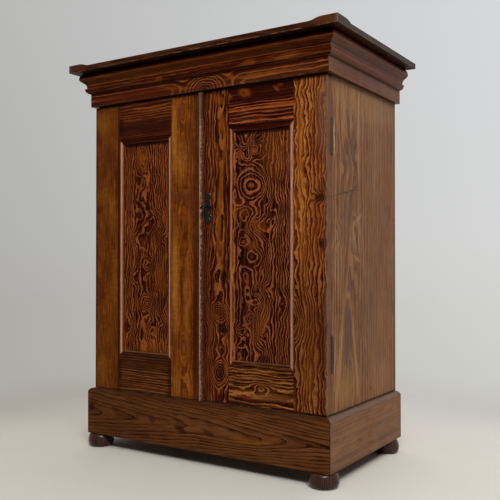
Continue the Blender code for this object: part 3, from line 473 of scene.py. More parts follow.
# Figure of each board.  Lengths in millimetres, tilts in degrees, and no tilt where a spot is level.
FIGURES = {
    "left_hinge_stile": dict(
        tint=(0.94, 0.93, 1), heart=(200, 50), ring=5, contrast=0.3, light=0.35, patch=0.55,
        patch_size=(40, 60), streak=0.5, streak_size=(3.5, 55), flame=0.14, wear=0,
        marks=[
            # The first mark is painted shade along the door's outer edge.
            (-441, 660, 12, 900, "dusk_stain_and_shade", 0.9), (-405, 985, 34, 34, 15, "red", 0.55),
            (-380, 940, 30, 24, -20, "rust", 0.4), (-400, 1080, 34, 36, "amber", 0.35),
            (-362, 770, 18, 60, "amber", 0.35), (-400, 830, 26, 30, "amber", 0.25),
            (-340, 880, 10, 70, "shade", 0.6), (-415, 505, 24, 32, 10, "rust", 0.65),
            (-350, 560, 13, 90, "amber", 0.3), (-345, 300, 14, 100, "shade", 0.3),
            (-398, 260, 26, 50, "gold", 0.3)],
        # Bands: painted shade at the door's foot, in the quirk beside the moulding and on the panel's edge
        # under it; a painted highlight on the moulding's round, partly bare worn wood.
        bands=[
            ("z", 194, 2, "shade_and_knot_black", 0.5), ("x", -331, 4, "dusk_stain_and_shade", 0.85), ("x", -321, 3.8, "rubbed", 0.8),
            ("x", -322, 2.2, "cream_highlight_and_wear", 0.45), ("x", -311.5, 2.4, "dusk_stain_and_shade", 0.7)]),
    "left_meeting_stile": dict(
        tint=(1.16, 1.16, 1.48), heart=(6, 18), ring=7.5, drift=(10, 45, 80), wave=(1.5, 12, 18),
        contrast=0.5, light=0.42, dark=0.24, patch=0.6, patch_size=(34, 46), streak=0.4,
        streak_size=(4, 60), flame=0.14,
        eyes=[(-72, 1085, 22, 34, 10, -3), (-60, 350, 24, 34, -2.5)],
        marks=[
            (-4, 660, 20, 900, "shade", 0.8), (-98, 1020, 12, 120, "amber", 0.65),
            (-74, 1088, 16, 30, 10, "red", 0.75), (-72, 930, 24, 70, "amber", 0.35),
            (-64, 815, 52, 16, -6, "rust", 0.75), (-34, 960, 8, 100, "rust", 0.8),
            (-30, 800, 16, 60, "rust", 0.5), (-60, 752, 34, 9, 12, "red", 0.65),
            (-93, 560, 14, 150, "amber", 0.75), (-50, 480, 11, 140, "gold", 0.5),
            (-16, 400, 12, 200, "dusk_stain_and_shade", 0.7), (-62, 358, 24, 20, "rust", 0.5),
            (-90, 250, 14, 50, "gold", 0.5)],
        # Bands: painted shade at the door's foot, and a painted highlight on the panel moulding's round.
        bands=[("z", 194.5, 2.6, "shade_and_knot_black", 0.7), ("x", -118.5, 3.2, "cream_highlight_and_wear", 0.55)]),
    "left_top_rail": dict(
        tint=(0.91, 0.74, 0.58), grain="across", heart=(-100, 50), ring=6.5, drift=(8, 50, 200),
        light=0.15, contrast=0.45, patch=0.4, fade=0.5,
        marks=[
            (-220, 1048, 300, 27, "dusk_stain_and_shade", 0.85), (-324, 1060, 15, 34, "knot", 0.7),
            (-190, 1103, 90, 8, "orange", 0.2)],
        # Bands: painted shade on the moulding, which faces down, and a painted highlight along its lower
        # lip.
        bands=[("z", 1009, 9, "dusk_stain_and_shade", 0.85), ("z", 1003, 1.5, "tan", 0.6)]),
    "left_bottom_rail": dict(
        tint=(0.84, 0.92, 0.83), grain="across", heart=(100, 50), ring=6.5, light=0.15, contrast=0.5,
        patch=0.4, gloss=0.44, fade=0.5,
        marks=[
            (-220, 285, 300, 24, "shade", 0.6), (-328, 250, 13, 60, "knot", 0.7),
            (-112, 245, 11, 60, "knot", 0.7), (-215, 214, 110, 8, "red", 0.5)],
        # Bands: painted shade at the door's foot, a darker band over the moulding, and a painted highlight
        # along the moulding.
        bands=[
            ("z", 194.5, 2.4, "shade_and_knot_black", 0.6), ("z", 316, 10, "dusk_stain_and_shade", 0.8), ("z", 323, 1.3, "grey", 0.6)]),
    "left_panel": dict(
        tint=(0.825, 0.585, 0.43), heart=(-10, 22), ring=8, drift=(10, 40, 80), wave=(1.6, 11, 16),
        curl=(0.5, 20, 32), light=0.19, dark=0.36, stir=8, wear=0, patch_size=(28, 36), weight=0.8,
        contrast=0.84,
        eyes=[
            (-236, 950, 20, 40, -3.5), (-243, 880, 16, 30, 2.5), (-236, 770, 20, 40, 2.5),
            (-185, 745, 36, 22, -35, -3), (-215, 480, 28, 24, -4), (-208, 605, 24, 20, -3),
            (-275, 570, 14, 20, -2), (-205, 385, 18, 30, 2.5), (-155, 690, 20, 20, 2.5),
            (-150, 430, 20, 20, -2.5), (-270, 690, 20, 24, -2), (-285, 400, 14, 26, 2)],
        marks=[
            (-245, 765, 15, 62, 5, "dusk_stain_and_shade", 0.55), (-225, 700, 26, 14, "dusk_stain_and_shade", 0.4),
            (-242, 955, 7, 24, -18, "amber", 0.5), (-226, 925, 6, 22, 24, "amber", 0.45),
            (-217, 888, 10, 9, "amber", 0.5), (-247, 855, 8, 12, -20, "orange", 0.45),
            (-257, 476, 8, 22, "amber", 0.35), (-232, 636, 14, 8, 20, "orange", 0.35),
            (-180, 615, 14, 34, "shade", 0.4), (-160, 490, 20, 26, "dusk_stain_and_shade", 0.45),
            (-232, 955, 9, 12, "orange", 0.5), (-215, 885, 10, 14, "orange", 0.4),
            (-225, 395, 10, 26, "orange", 0.35), (-180, 392, 12, 12, "orange", 0.45),
            (-185, 550, 50, 40, "rust", 0.3), (-220, 470, 120, 200, "dusk_stain_and_shade", 0.12),
            (-275, 900, 30, 90, "rust", 0.25), (-160, 560, 24, 50, "amber", 0.2),
            (-200, 340, 50, 30, "amber", 0.25), (-158, 700, 16, 34, "dusk_stain_and_shade", 0.4),
            (-238, 962, 22, 46, "gold", 0.3), (-150, 880, 24, 120, "red", 0.25),
            (-296, 880, 16, 110, "tan", 0.25)],
        # Band: painted shadow that the top rail's moulding casts on the panel.
        bands=[("z", 996, 5, "shade_and_knot_black", 0.8)]),
    "right_meeting_stile": dict(
        tint=(0.7, 0.49, 0.36), heart=(16, 15), ring=7, drift=(9, 34, 75), wave=(1.4, 12, 20),
        curl=(0.3, 18, 40), light=0.19, dark=0.26, patch=0.3, weight=0.6, fade=0.15,
        cores=[(74, 463, 8.5, 6.8, 25, 4.6, -1.6), (78, 286, 9, 11, 15, 4, -0.6)],
        eyes=[
            (90, 412, 18, 18, -2), (84, 355, 14, 16, -1.5), (34, 540, 30, 70, -2),
            (30, 400, 14, 30, 1.5)],
        marks=[
            (34, 660, 16, 900, "rust", 0.4), (22, 660, 7, 900, "dusk_stain_and_shade", 0.4),
            (74, 740, 9, 110, 2, "amber", 0.8), (82, 1030, 13, 30, "orange", 0.85),
            (74, 1105, 26, 12, 30, "orange", 0.6), (94, 960, 6, 70, "orange", 0.7),
            (68, 930, 6, 60, "orange", 0.5), (65, 1000, 8, 50, "dusk_stain_and_shade", 0.75),
            (100, 1095, 8, 30, "dusk_stain_and_shade", 0.7), (66, 925, 4, 9, "tan", 0.8),
            (84, 850, 9, 70, 3, "amber", 0.8), (60, 870, 5, 60, "dusk_stain_and_shade", 0.6),
            (95, 860, 7, 60, "dusk_stain_and_shade", 0.7), (98, 780, 8, 60, "knot", 0.6), (100, 690, 5, 60, "rust", 0.6),
            (86, 640, 7, 50, "gold", 0.6), (98, 590, 8, 55, "knot", 0.6),
            (75, 463, 16, 11, 25, "rust", 0.85), (91, 412, 16, 13, "knot", 0.95),
            (84, 352, 9, 12, "knot", 0.85), (78, 286, 20, 27, 15, "dusk_stain_and_shade", 0.8),
            (102, 300, 6, 20, "amber", 0.75), (96, 380, 8, 22, "orange", 0.5),
            (40, 240, 26, 30, "rust", 0.4)],
        # Bands: painted shade at the door's foot and in the quirk beside the moulding, and a painted
        # highlight on the moulding's round.
        bands=[("z", 195, 3, "shade_and_knot_black", 0.85), ("x", 110.5, 2, "dusk_stain_and_shade", 0.5), ("x", 117, 3, "cream_highlight_and_wear", 0.5)]),
    "right_top_rail": dict(
        tint=(0.88, 0.565, 0.49), grain="across", heart=(60, 20), ring=8.4, drift=(5, 45, 120),
        wave=(1.2, 10, 26), light=0.17, dark=0.4, patch=0.2, stir=4, fade=0.15,
        marks=[
            (220, 1096, 260, 17, "dusk_stain_and_shade", 0.97), (220, 1122, 260, 17, "dusk_stain_and_shade", 0.97),
            (165, 1114, 21, 13, 12, "orange", 0.65), (162, 1113, 8, 5, "rust", 0.95),
            (108, 1108, 14, 9, "orange", 0.55), (274, 1112, 13, 5, 35, "orange", 0.5),
            (287, 1121, 10, 5, "orange", 0.35), (220, 1065, 260, 3.5, "orange", 0.6),
            (220, 1047, 260, 12, "dusk_stain_and_shade", 0.4), (290, 1069, 40, 6, "orange", 0.4)],
        # Bands: painted shade on the moulding, which faces down, and a red line along its lip.
        bands=[("z", 1009, 9, "dusk_stain_and_shade", 0.75), ("z", 1004, 1.5, "rust", 0.8)]),
    "right_bottom_rail": dict(
        tint=(0.86, 0.82, 0.66), grain="across", heart=(30, 22), ring=8.2, drift=(6, 35, 90),
        wave=(1.6, 10, 22), curl=(0.3, 14, 36), light=0.24, dark=0.26, contrast=0.85, patch=0.3,
        eyes=[(222, 252, 26, 15, -2.4)],
        marks=[
            (262, 229, 60, 11, "tan", 0.8), (284, 218, 16, 5, 5, "knot", 0.65),
            (150, 204, 80, 9, "dusk_stain_and_shade", 0.5), (222, 252, 9, 5, "rust", 0.8), (250, 219, 5, 3, "red", 0.6)],
        # Bands: painted shade at the door's foot, a darker band over the moulding, and a painted highlight
        # along the moulding.
        bands=[("z", 195, 3.2, "shade_and_knot_black", 0.9), ("z", 316, 10, "dusk_stain_and_shade", 0.7), ("z", 323, 1.3, "grey", 0.6)]),
    "right_hinge_stile": dict(
        tint=(0.96, 0.84, 1.1), heart=(-90, 20), ring=11, drift=(15, 30, 60), wave=(2.6, 12, 22),
        curl=(0.35, 24, 40), light=0.26, dark=0.28, patch=0.3, patch_size=(40, 90), weight=0.6,
        streak=0.15, flame=0.1, fade=0.1,
        eyes=[(322, 455, 50, 50, -4), (352, 862, 16, 60, 1.2), (412, 795, 20, 16, -2)],
        marks=[
            (350, 900, 15, 260, "orange", 0.35), (366, 660, 18, 90, "orange", 0.3),
            (352, 1000, 10, 60, "orange", 0.4), (352, 880, 9, 50, "orange", 0.3),
            (408, 900, 26, 260, "red", 0.42), (398, 690, 28, 130, "red", 0.3),
            (416, 794, 20, 13, "shade_and_knot_black", 0.8), (422, 820, 12, 26, 20, "knot", 0.5),
            (421, 669, 13, 17, -15, "knot", 0.85), (332, 455, 12, 16, "dusk_stain_and_shade", 0.7),
            (424, 460, 14, 120, "dusk_stain_and_shade", 0.4), (421, 300, 9, 200, "dusk_stain_and_shade", 0.4),
            (424, 1020, 20, 110, "grey", 0.5), (350, 520, 26, 60, "rust", 0.35),
            (374, 360, 90, 250, "dusk_stain_and_shade", 0.48), (380, 300, 24, 80, "orange", 0.2),
            (396, 400, 30, 120, "rust", 0.4)],
        # Bands: a painted highlight on the moulding's round, a grey line along the door's outer edge that
        # is partly wear and partly painted reflection, and painted shade at the door's foot.
        bands=[
            ("x", 323, 4.6, "cream_highlight_and_wear", 0.62), ("x", 437, 3, "grey", 0.9), ("x", 430, 3, "grey", 0.3),
            ("z", 195.5, 3.6, "shade_and_knot_black", 0.95)]),
    "right_panel": dict(
        tint=(0.745, 0.535, 0.58), heart=(-52, 16), ring=8.6, drift=(8, 36, 60), wave=(1.4, 12, 18),
        curl=(0.48, 24, 28), stir=6, light=0.19, dark=0.38, wear=0, patch=0.35, patch_size=(30, 40),
        weight=0.6, fade=0.15,
        cores=[
            (183, 840, 6.8, 5.8, 14, 11, 0.7), (183, 841, 19, 13.5, 14, 2.2, 4.5),
            (186, 632, 15, 11, 14, 3.4, 3.25)],
        eyes=[
            (238, 795, 13, 13, -2), (143, 790, 13, 13, 1.2), (170, 908, 46, 16, 4),
            (150, 672, 13, 12, -1.8), (207, 497, 18, 18, -3), (197, 530, 13, 13, 2),
            (185, 455, 18, 13, -25, -2.4), (138, 411, 20, 15, -2.8), (130, 335, 30, 45, -4),
            (220, 415, 13, 36, 28, 2.6), (235, 540, 20, 16, 20, 2.2), (220, 345, 24, 22, -2),
            (143, 935, 20, 20, 4), (190, 948, 26, 28, 7), (300, 500, 18, 40, -2), (195, 725, 46, 34, 5),
            (262, 740, 16, 40, 25, -1.8)],
        marks=[
            (183, 841, 12, 7, 14, "orange", 0.85), (183, 841, 8, 4, 14, "amber", 0.6),
            (145, 932, 14, 10, 20, "orange", 0.6), (192, 943, 12, 9, "orange", 0.7),
            (205, 722, 34, 16, 20, "amber", 0.4), (170, 712, 10, 14, -20, "orange", 0.4),
            (205, 972, 13, 18, "dusk_stain_and_shade", 0.85), (186, 632, 16, 9, 12, "dusk_stain_and_shade", 0.8),
            (258, 800, 10, 34, "dusk_stain_and_shade", 0.4), (207, 497, 5, 5, "orange", 0.9),
            (225, 335, 26, 12, "dusk_stain_and_shade", 0.7), (130, 335, 14, 14, "knot", 0.7),
            (138, 410, 6, 4, "knot", 0.8), (285, 770, 18, 14, -30, "dusk_stain_and_shade", 0.4),
            (220, 500, 110, 210, "dusk_stain_and_shade", 0.16), (230, 590, 26, 40, "rust", 0.3),
            (165, 565, 20, 24, "rust", 0.4), (262, 930, 50, 75, "amber", 0.28),
            (150, 770, 34, 26, "orange", 0.22), (290, 400, 28, 90, "rust", 0.2),
            (225, 885, 30, 40, -20, "dusk_stain_and_shade", 0.25), (140, 470, 36, 60, "dusk_stain_and_shade", 0.35),
            (160, 700, 46, 26, "dusk_stain_and_shade", 0.3), (186, 664, 30, 12, "orange", 0.3),
            (215, 440, 22, 60, 20, "amber", 0.25)],
        # Band: painted shadow that the top rail's moulding casts on the panel.
        bands=[("z", 996, 5, "shade_and_knot_black", 0.8)]),
    "meeting_bead": dict(
        tint=(0.95, 0.8, 0.68), heart=(100, 50), ring=4, contrast=0.2, patch=0, streak=0.95,
        streak_size=(4, 8), gloss=0.36, sheen=0.15, wear=0, fade=0, stir=1.5, flame=0.1,
        # The pale strip and spots down the bead are partly bare worn wood and partly a painted highlight
        # on its round; the dark bands at its sides are painted shade on its flanks.
        marks=[
            (10, 1098, 30, 42, "brown", 0.95), (10, 400, 30, 200, "brown", 0.3),
            (8, 1000, 6, 40, "pink", 0.5), (7, 900, 4, 30, "pink", 0.5),
            (6.5, 615, 2.8, 440, "cream_highlight_and_wear", 0.5), (10, 1104, 30, 36, "slate", 0.55),
            (8, 1100, 10, 30, "pink", 0.12)],
        bands=[("x", 0.5, 2.6, "dusk_stain_and_shade", 0.8), ("x", 18, 4.4, "dusk_stain_and_shade", 0.85)]),
    "frieze_front": dict(
        tint=(0.75, 0.56, 0.51), grain="across", heart=(50, 30), ring=7.2, light=0.16, dark=0.26,
        drift=(4, 40, 350), contrast=0.8, patch=0.4, wear=0.4,
        cores=[(30, 1134, 10.5, 8, 9, 0)],
        marks=[
            (230, 1158, 130, 5, "amber", 0.55), (122, 1165, 20, 7, 28, "amber", 0.6),
            (20, 1142, 22, 8, "dusk_stain_and_shade", 0.5), (-250, 1150, 200, 24, "rust", 0.9),
            (-75, 1156, 60, 5, 8, "orange", 0.4), (260, 1150, 200, 24, "tan", 0.25)]),
    "frieze_left": dict(
        grain="side_across", face="side", heart=(30, 60), ring=10, contrast=0.35, sheen=0.3,
        marks=[(20, 1158, 300, 40, "rust", 0.5)]),
    "frieze_right": dict(
        grain="side_across", face="side", heart=(30, 60), ring=10, contrast=0.35, gloss=0.42, sheen=0.2,
        patch=0.3,
        marks=[(20, 1158, 300, 40, "rust", 0.5)]),
    "crown_front": dict(
        tint=(1.08, 0.86, 0.7), grain="across", heart=(30, 40), ring=6.5, light=0.17, dark=0.24,
        drift=(3, 50, 500), contrast=0.5, patch=0.4, patch_size=(30, 160), wear=0,
        marks=[
            (-150, 1208, 300, 3, "orange", 0.5), (0, 1222, 470, 9, "red", 0.35),
            (-140, 1191, 16, 7, "orange", 0.45), (200, 1191, 22, 7, "amber", 0.5),
            # The second mark here is painted light that lifts the crown's wave out of the top board's
            # shade.
            (320, 1191, 50, 6, "orange", 0.3), (0, 1222, 480, 13, "orange", 0.2),
            (-60, 1190, 60, 8, "dusk_stain_and_shade", 0.5), (110, 1187, 40, 6, "dusk_stain_and_shade", 0.5)],
        # Bands: painted shadow under the top board's overhang, and painted shade in the quirk above the
        # bead.
        bands=[("z", 1246, 13, "shade_and_knot_black", 0.9), ("z", 1197.5, 1.6, "dusk_stain_and_shade", 0.7)]),
    "crown_left": dict(
        grain="side_across", face="side", heart=(30, 50), ring=8, contrast=0.3, wear=0,
        marks=[(20, 1200, 300, 60, "rust", 0.65)],
        # Band: painted shadow under the top board's overhang.
        bands=[("z", 1246, 9, "dusk_stain_and_shade", 0.8)]),
    "crown_right": dict(
        tint=(1.24, 1, 0.9), grain="side_across", face="side", heart=(30, 50), ring=8, contrast=0.35,
        gloss=0.42, sheen=0.2, wear=0, patch=0.3,
        marks=[(20, 1200, 300, 60, "rust", 0.65)],
        # Band: painted shadow under the top board's overhang.
        bands=[("z", 1246, 9, "dusk_stain_and_shade", 0.8)]),
    "top_board": dict(
        tint=(0.74, 0.73, 0.92), grain="flat_across", face="top", heart=(60, -110), ring=12,
        drift=(22, 90, 420), taper=4, light=0.2, dark=0.35, contrast=0.35, patch=0.7,
        patch_size=(70, 160), gloss=0.42, wear=0.8,
        bands=[
            ("y", -287.6, 26, "shade", 0.55), ("x", 499, 8, "slate", 0.95),
            ("x", -499, 8, "slate", 0.95)]),
    "plinth_front": dict(
        tint=(0.76, 0.67, 0.62), grain="across", heart=(0, 16), ring=8.6, light=0.44, dark=0.16, taper=8,
        drift=(9, 50, 260), patch_size=(40, 200), curl=(0.15, 18, 70), wear=0.3, stir=7, weight=0.9,
        streak=0.3, streak_size=(4, 120),
        eyes=[(195, 102, 120, 20, -1.6)],
        marks=[
            (-436, 130, 16, 12, "dusk_stain_and_shade", 0.85), (-325, 131, 24, 8, 10, "dusk_stain_and_shade", 0.6),
            (-172, 118, 16, 11, 30, "dusk_stain_and_shade", 0.6), (-60, 104, 28, 11, 24, "dusk_stain_and_shade", 0.8),
            (44, 106, 26, 9, 18, "dusk_stain_and_shade", 0.7), (200, 100, 70, 8, "amber", 0.4),
            (-115, 108, 26, 14, "tan", 0.5), (0, 110, 18, 12, "tan", 0.45),
            (-60, 185, 300, 6, "rust", 0.4), (-330, 100, 150, 80, "shade", 0.25)],
        # Bands: painted shade on the rounded top under the doors, and a dark line at the mitre.
        bands=[("z", 189, 7, "dim", 0.7), ("x", 452, 1.6, "dusk_stain_and_shade", 0.7)]),
    "plinth_left": dict(
        grain="side_across", face="side", heart=(20, 50), ring=9, contrast=0.3),
    "plinth_right": dict(
        grain="side_across", face="side", heart=(20, 50), ring=9, contrast=0.2, gloss=0.48, sheen=0.27,
        wear=0.4, tint=(0.96, 1.04, 1.12),
        marks=[(150, 80, 60, 30, "rust", 0.2)],
        bands=[("z", 188, 8, "slate", 0.6), ("y", -240, 1.6, "dim", 0.8)]),
    "side_right": dict(
        tint=(0.98, 0.97, 0.92), grain="side_up", face="side", heart=(-95, 40), ring=17,
        drift=(10, 60, 200), wave=(1.2, 16, 40), curl=(0.3, 34, 80), light=0.28, dark=0.22, contrast=0.7,
        patch=0.3, gloss=0.46, sheen=0.18, wear=0.4, stir=9, streak=0.4, streak_size=(7, 180),
        eyes=[
            (-35, 676, 24, 58, 8, -2.6), (-95, 230, 60, 290, -2.8), (-93, 880, 46, 90, 1.6),
            (-150, 690, 30, 40, 1.4)],
        marks=[
            (-146, 350, 11, 175, -10, "straw", 0.7), (-46, 350, 9, 175, 12, "straw", 0.6),
            (-92, 520, 15, 14, "straw", 0.6), (-93, 408, 31, 96, "brown", 0.75),
            (-92, 255, 54, 55, "yellow", 0.6), (-175, 640, 5, 100, "straw", 0.6),
            (-157, 620, 6, 110, "straw", 0.6), (-138, 600, 5, 70, "straw", 0.5),
            (-163, 1050, 6, 80, "straw", 0.6), (-122, 1045, 9, 88, "straw", 0.6),
            (-73, 1020, 5, 60, "straw", 0.4), (-23, 1000, 7, 140, "straw", 0.65),
            (-93, 925, 36, 50, "brown", 0.35), (-90, 770, 46, 50, "brown", 0.4),
            (-52, 690, 7, 50, 12, "straw", 0.7), (-18, 690, 6, 50, "straw", 0.7),
            (-33, 682, 9, 30, 6, "brown", 0.9), (-35, 628, 22, 6, -20, "straw", 0.6),
            (-22, 745, 24, 7, 35, "straw", 0.7), (-30, 590, 30, 8, -30, "brown", 0.4),
            (130, 640, 112, 900, "ground", 0.4), (40, 1095, 230, 55, "straw", 0.35),
            (70, 500, 60, 130, "brown", 0.25), (190, 760, 30, 160, "brown", 0.2),
            (150, 250, 90, 60, "straw", 0.2), (100, 940, 12, 150, "straw", 0.2),
            (-110, 815, 95, 2.4, 10.4, "dim", 0.8), (-42, 834, 10, 5, 10, "dim", 0.8),
            (63, 495, 22, 30, "brown", 0.4), (47, 313, 7, 22, "rust", 0.3), (64, 231, 7, 4, "rust", 0.8),
            (-107, 328, 6, 4, "dim", 0.9), (215, 772, 4, 22, "dim", 0.9), (243, 470, 5, 24, "dim", 0.8),
            # Beside the hinges: pale lines of bare worn wood, a dark line, and painted shade behind the
            # lower hinge's knuckle.
            (-181, 966, 3.4, 52, "cream_highlight_and_wear", 0.75), (-174, 966, 2.5, 50, "dim", 0.5),
            (-186, 362, 3.5, 52, "shade_and_knot_black", 0.85), (-179, 362, 3, 50, "rubbed", 0.8)],
        # Bands: darker along the back edge, and painted shade along the foot above the plinth.
        bands=[("y", 266, 7, "dim", 0.6), ("z", 195.5, 3.4, "shade_and_knot_black", 0.9)]),
    "side_left": dict(
        grain="side_up", face="side", heart=(-30, 100), ring=10, taper=3, contrast=0.5, patch=0.35,
        gloss=0.46, sheen=0.24,
        eyes=[(50, 800, 30, 90, -3)]),
}


class Board(Recipe):
    """A board's own material: ring lines, streaks, patches, stains, fibres and worn edges."""

    def __init__(self, node, finish, seed, figure):
        super().__init__(f"{node}_{finish}_pine")
        self.seed, self.figure, self.tints = seed, figure, settings("wood")
        self.light, self.middle, self.deep = (
            tuple(getattr(self.tints, f"{finish}_{tone}")) for tone in TONES)
        self.low, self.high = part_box(node)
        centre = tuple((self.low + self.high) / 2)
        self.local = self.mapped(self.place, centre, GRAIN_TURN[figure["grain"]])
        noise = self.noise(self.place, STIR_LUMPS, seed + 2.0, 3.0, 0.55, "Color")
        self.stirred = self.shifted(self.place, noise, (0.002 * figure["stir"],) * 3)
        self.moved = self.wander()
        self.phase = self.ring_phase()

    def mixed(self, source, kind, start, end):
        """One of the noises that every board has, carried from start to end over its range."""
        size, offset, detail, roughness, low, high = NOISES[kind]
        noise = self.noise(source, size, self.seed + offset, detail, roughness)
        return self.between(noise, low, high, start, end)

    def lumpy(self, source, size, offset, detail, roughness, output="Fac"):
        """A noise of this board's own, with the size of its lumps in millimetres across and along."""
        across, along = (value / 1000 for value in size)
        return self.noise(source, (across, across, along), self.seed + offset, detail, roughness, output)

    def shifted(self, source, noise, reach):
        """Coordinates moved about by a coloured noise, so that what is drawn on them is uneven."""
        centred = self.vector("SUBTRACT", noise, (0.5, 0.5, 0.5))
        return self.vector("ADD", source, self.vector("MULTIPLY", centred, reach))

    def wander(self):
        """Board coordinates moved by a slow drift and a finer wave, which bend its rings and streaks."""
        moved = self.local
        for kind, offset in (("drift", 0.0), ("wave", 4.3)):
            amount, *size = self.figure[kind]
            noise = self.lumpy(self.local, size, offset, 2.0, 0.45, "Color")
            moved = self.shifted(moved, noise, (0.002 * amount, 0.002 * amount, 0.0))
        return moved

    def apart(self, spot):
        """How far a place on the cupboard is from a spot's middle, in its two radii.  The spot has its
        middle, its radii and, where it isn't level, its tilt, in millimetres and degrees: (x, z) on the
        front, (y, z) on a side, (x, y) on top."""
        across, upward, wide, high = (value / 1000 for value in spot[:4])
        tilt = math.radians(spot[4]) if len(spot) > 4 else 0.0
        deep = 1000.0       # a radius so long that the depth doesn't count
        middle, size, turn = {
            "front": ((across, 0, upward), (wide, deep, high), (0, tilt, 0)),
            "side": ((0, across, upward), (deep, wide, high), (tilt, 0, 0)),
            "top": ((across, upward, 0), (wide, high, deep), (0, 0, tilt)),
        }[self.figure["face"]]
        return self.mapped(self.stirred, middle, turn, size)

    def hill(self, spot, flat=False):
        """A hill on the board: e to the minus square, or fourth power where it is flat, of the distance
        from its middle."""
        apart = self.apart(spot)
        square = self.vector("DOT_PRODUCT", apart, apart, output="Value")
        if flat:
            square = self.math("MULTIPLY", square, square)
        return self.math("EXPONENT", self.math("MULTIPLY", square, -1.0))

    def ring_count(self):
        """Growth rings counted outwards from the heart of the tree.

        The distance from the heart line, in the board's moved coordinates, is divided by the ring's
        width.  Taper adds rings along the board, curl adds hills and hollows, and each eye adds a hill of
        its own.  Near a core the count runs outwards from the core's middle instead, one ring for each
        ring width.  A noise along the count makes some rings wider than others.
        """
        figure = self.figure
        heart = tuple(value / 1000 for value in figure["heart"])
        ring, endless = figure["ring"] / 1000, 1e6
        apart = self.mapped(self.moved, (*heart, 0.0), (0, 0, 0), (ring, ring, endless))
        count = self.vector("LENGTH", apart, output="Value")
        if figure["taper"]:
            height = self.add("ShaderNodeSeparateXYZ", {0: self.moved}, "Z")
            count = self.math("MULTIPLY_ADD", height, figure["taper"], count)
        rings, *size = figure["curl"]
        if rings:
            curl = self.lumpy(self.moved, size, 3.1, 2.5, 0.5)
            count = self.math("MULTIPLY_ADD", curl, 4 * rings, count)
        for *spot, rings in figure["eyes"]:
            count = self.math("MULTIPLY_ADD", self.hill(spot), rings, count)
        for *spot, reach, first in figure["cores"]:
            out = self.vector("LENGTH", self.apart(spot), output="Value")
            far = self.math("POWER", self.math("DIVIDE", out, reach), 4.0)
            near = self.math("EXPONENT", self.math("MULTIPLY", far, -1.0))
            gap = self.math("SUBTRACT", self.math("ADD", out, first), count)
            count = self.math("MULTIPLY_ADD", gap, near, count)
        uneven = self.add("ShaderNodeTexNoise", {"W": self.math("MULTIPLY", count, 0.43), "Scale": 1.0,
                                                 "Detail": 1.0}, noise_dimensions="1D")
        return self.math("MULTIPLY_ADD", uneven, 1.1, count)

    def ring_phase(self):
        """Where in its ring a place is, from 0 to 1, shifted so that the lines swell and thin."""
        heavy = 1.0 + self.figure["weight"]
        swell = self.mixed(self.local, "swell", 1 / heavy, heavy)
        return self.math("POWER", self.math("FRACT", self.ring_count()), swell)

    def lines(self):
        """The light and dark lines of the rings on the ground, lost in places."""
        figure = self.figure
        start, end = figure["light"], 1.0 - figure["dark"]
        base = self.ramp(self.phase, [
            (0.0, self.light), (start * 0.7, self.light), (start + 0.12, self.middle),
            (end - 0.10, self.middle), (end, self.deep), (0.94, self.deep), (1.0, self.light)])
        if figure["contrast"] < 1.0:
            base = self.blend(figure["contrast"], self.middle, base)
        return self.blend(self.mixed(self.moved, "lost", 0.0, figure["fade"]), base, self.middle)

    def streaked(self, base):
        """Long dark and light streaks, then slow patches."""
        figure = self.figure
        streak = self.lumpy(self.moved, figure["streak_size"], 4.4, 2.0, 0.6)
        for none, full, tone in ((0.50, 0.66, self.deep), (0.48, 0.34, self.light)):
            base = self.blend(self.between(streak, none, full, 0.0, figure["streak"]), base, tone)
        patch = self.lumpy(self.local, figure["patch_size"], 7.7, 3.0, 0.55)
        shade = self.between(patch, 0.38, 0.66, 0.0, figure["patch"])
        return self.blend(shade, base, PATCH_SHADE, "MULTIPLY")

    def stained(self, base):
        """Marks with stirred outlines, then straight bands with soft edges: stains and knots, and also
        painted shade and painted highlights.
        """
        for *spot, stain, strength in self.figure["marks"]:
            there = self.math("MULTIPLY", self.hill(spot, flat=True), strength)
            base = self.blend(there, base, STAINS_AND_PAINTED_LIGHT[stain])
        for axis, middle, half, stain, strength in self.figure["bands"]:
            along = self.add("ShaderNodeSeparateXYZ", {0: self.place}, "xyz".index(axis))
            apart = self.math("ABSOLUTE", self.math("SUBTRACT", along, middle / 1000))
            there = self.between(apart, half * 0.0005, half * 0.0015, strength, 0.0)
            base = self.blend(there, base, STAINS_AND_PAINTED_LIGHT[stain])
        return base

    def fibrous(self, base, fibre):
        """Fine fibres and bars across the grain in the board's tint, then resin ducts."""
        strength, flame = self.figure["fibre"], self.figure["flame"]
        grey = self.between(fibre, 0.30, 0.70, 1.0 - strength * 1.6, 1.0 + strength)
        if flame:
            bars = self.mixed(self.moved, "flame", 1.0 - flame, 1.0 + flame)
            grey = self.math("MULTIPLY", grey, bars)
        shades = self.vector("SCALE", self.figure["tint"])
        self.put(shades.node.inputs["Scale"], grey)
        base = self.blend(1.0, base, shades, "MULTIPLY")
        return self.blend(self.mixed(self.local, "duct", 0.0, 0.5), base, self.deep)

    def edge_distance(self):
        """Distance from the nearest edge of the board's box, on its surface: the middle one of the three
        distances from the nearest pair of faces."""
        inside = self.vector("MINIMUM", self.vector("SUBTRACT", self.place, tuple(self.low)),
                             self.vector("SUBTRACT", tuple(self.high), self.place))
        x, y, z = self.add("ShaderNodeSeparateXYZ", {0: inside}).node.outputs
        least, most = self.math("MINIMUM", x, y), self.math("MAXIMUM", x, y)
        return self.math("MAXIMUM", least, self.math("MINIMUM", most, z))

    def worn(self, base):
        """Edges rubbed bare in places."""
        near = self.between(self.edge_distance(), 0.0, self.tints.wear_width, 1.0, 0.0)
        bare = self.mixed(self.place, "rubbed", 0.0, self.figure["wear"])
        return self.blend(self.math("MULTIPLY", near, bare), base, tuple(self.tints.worn))

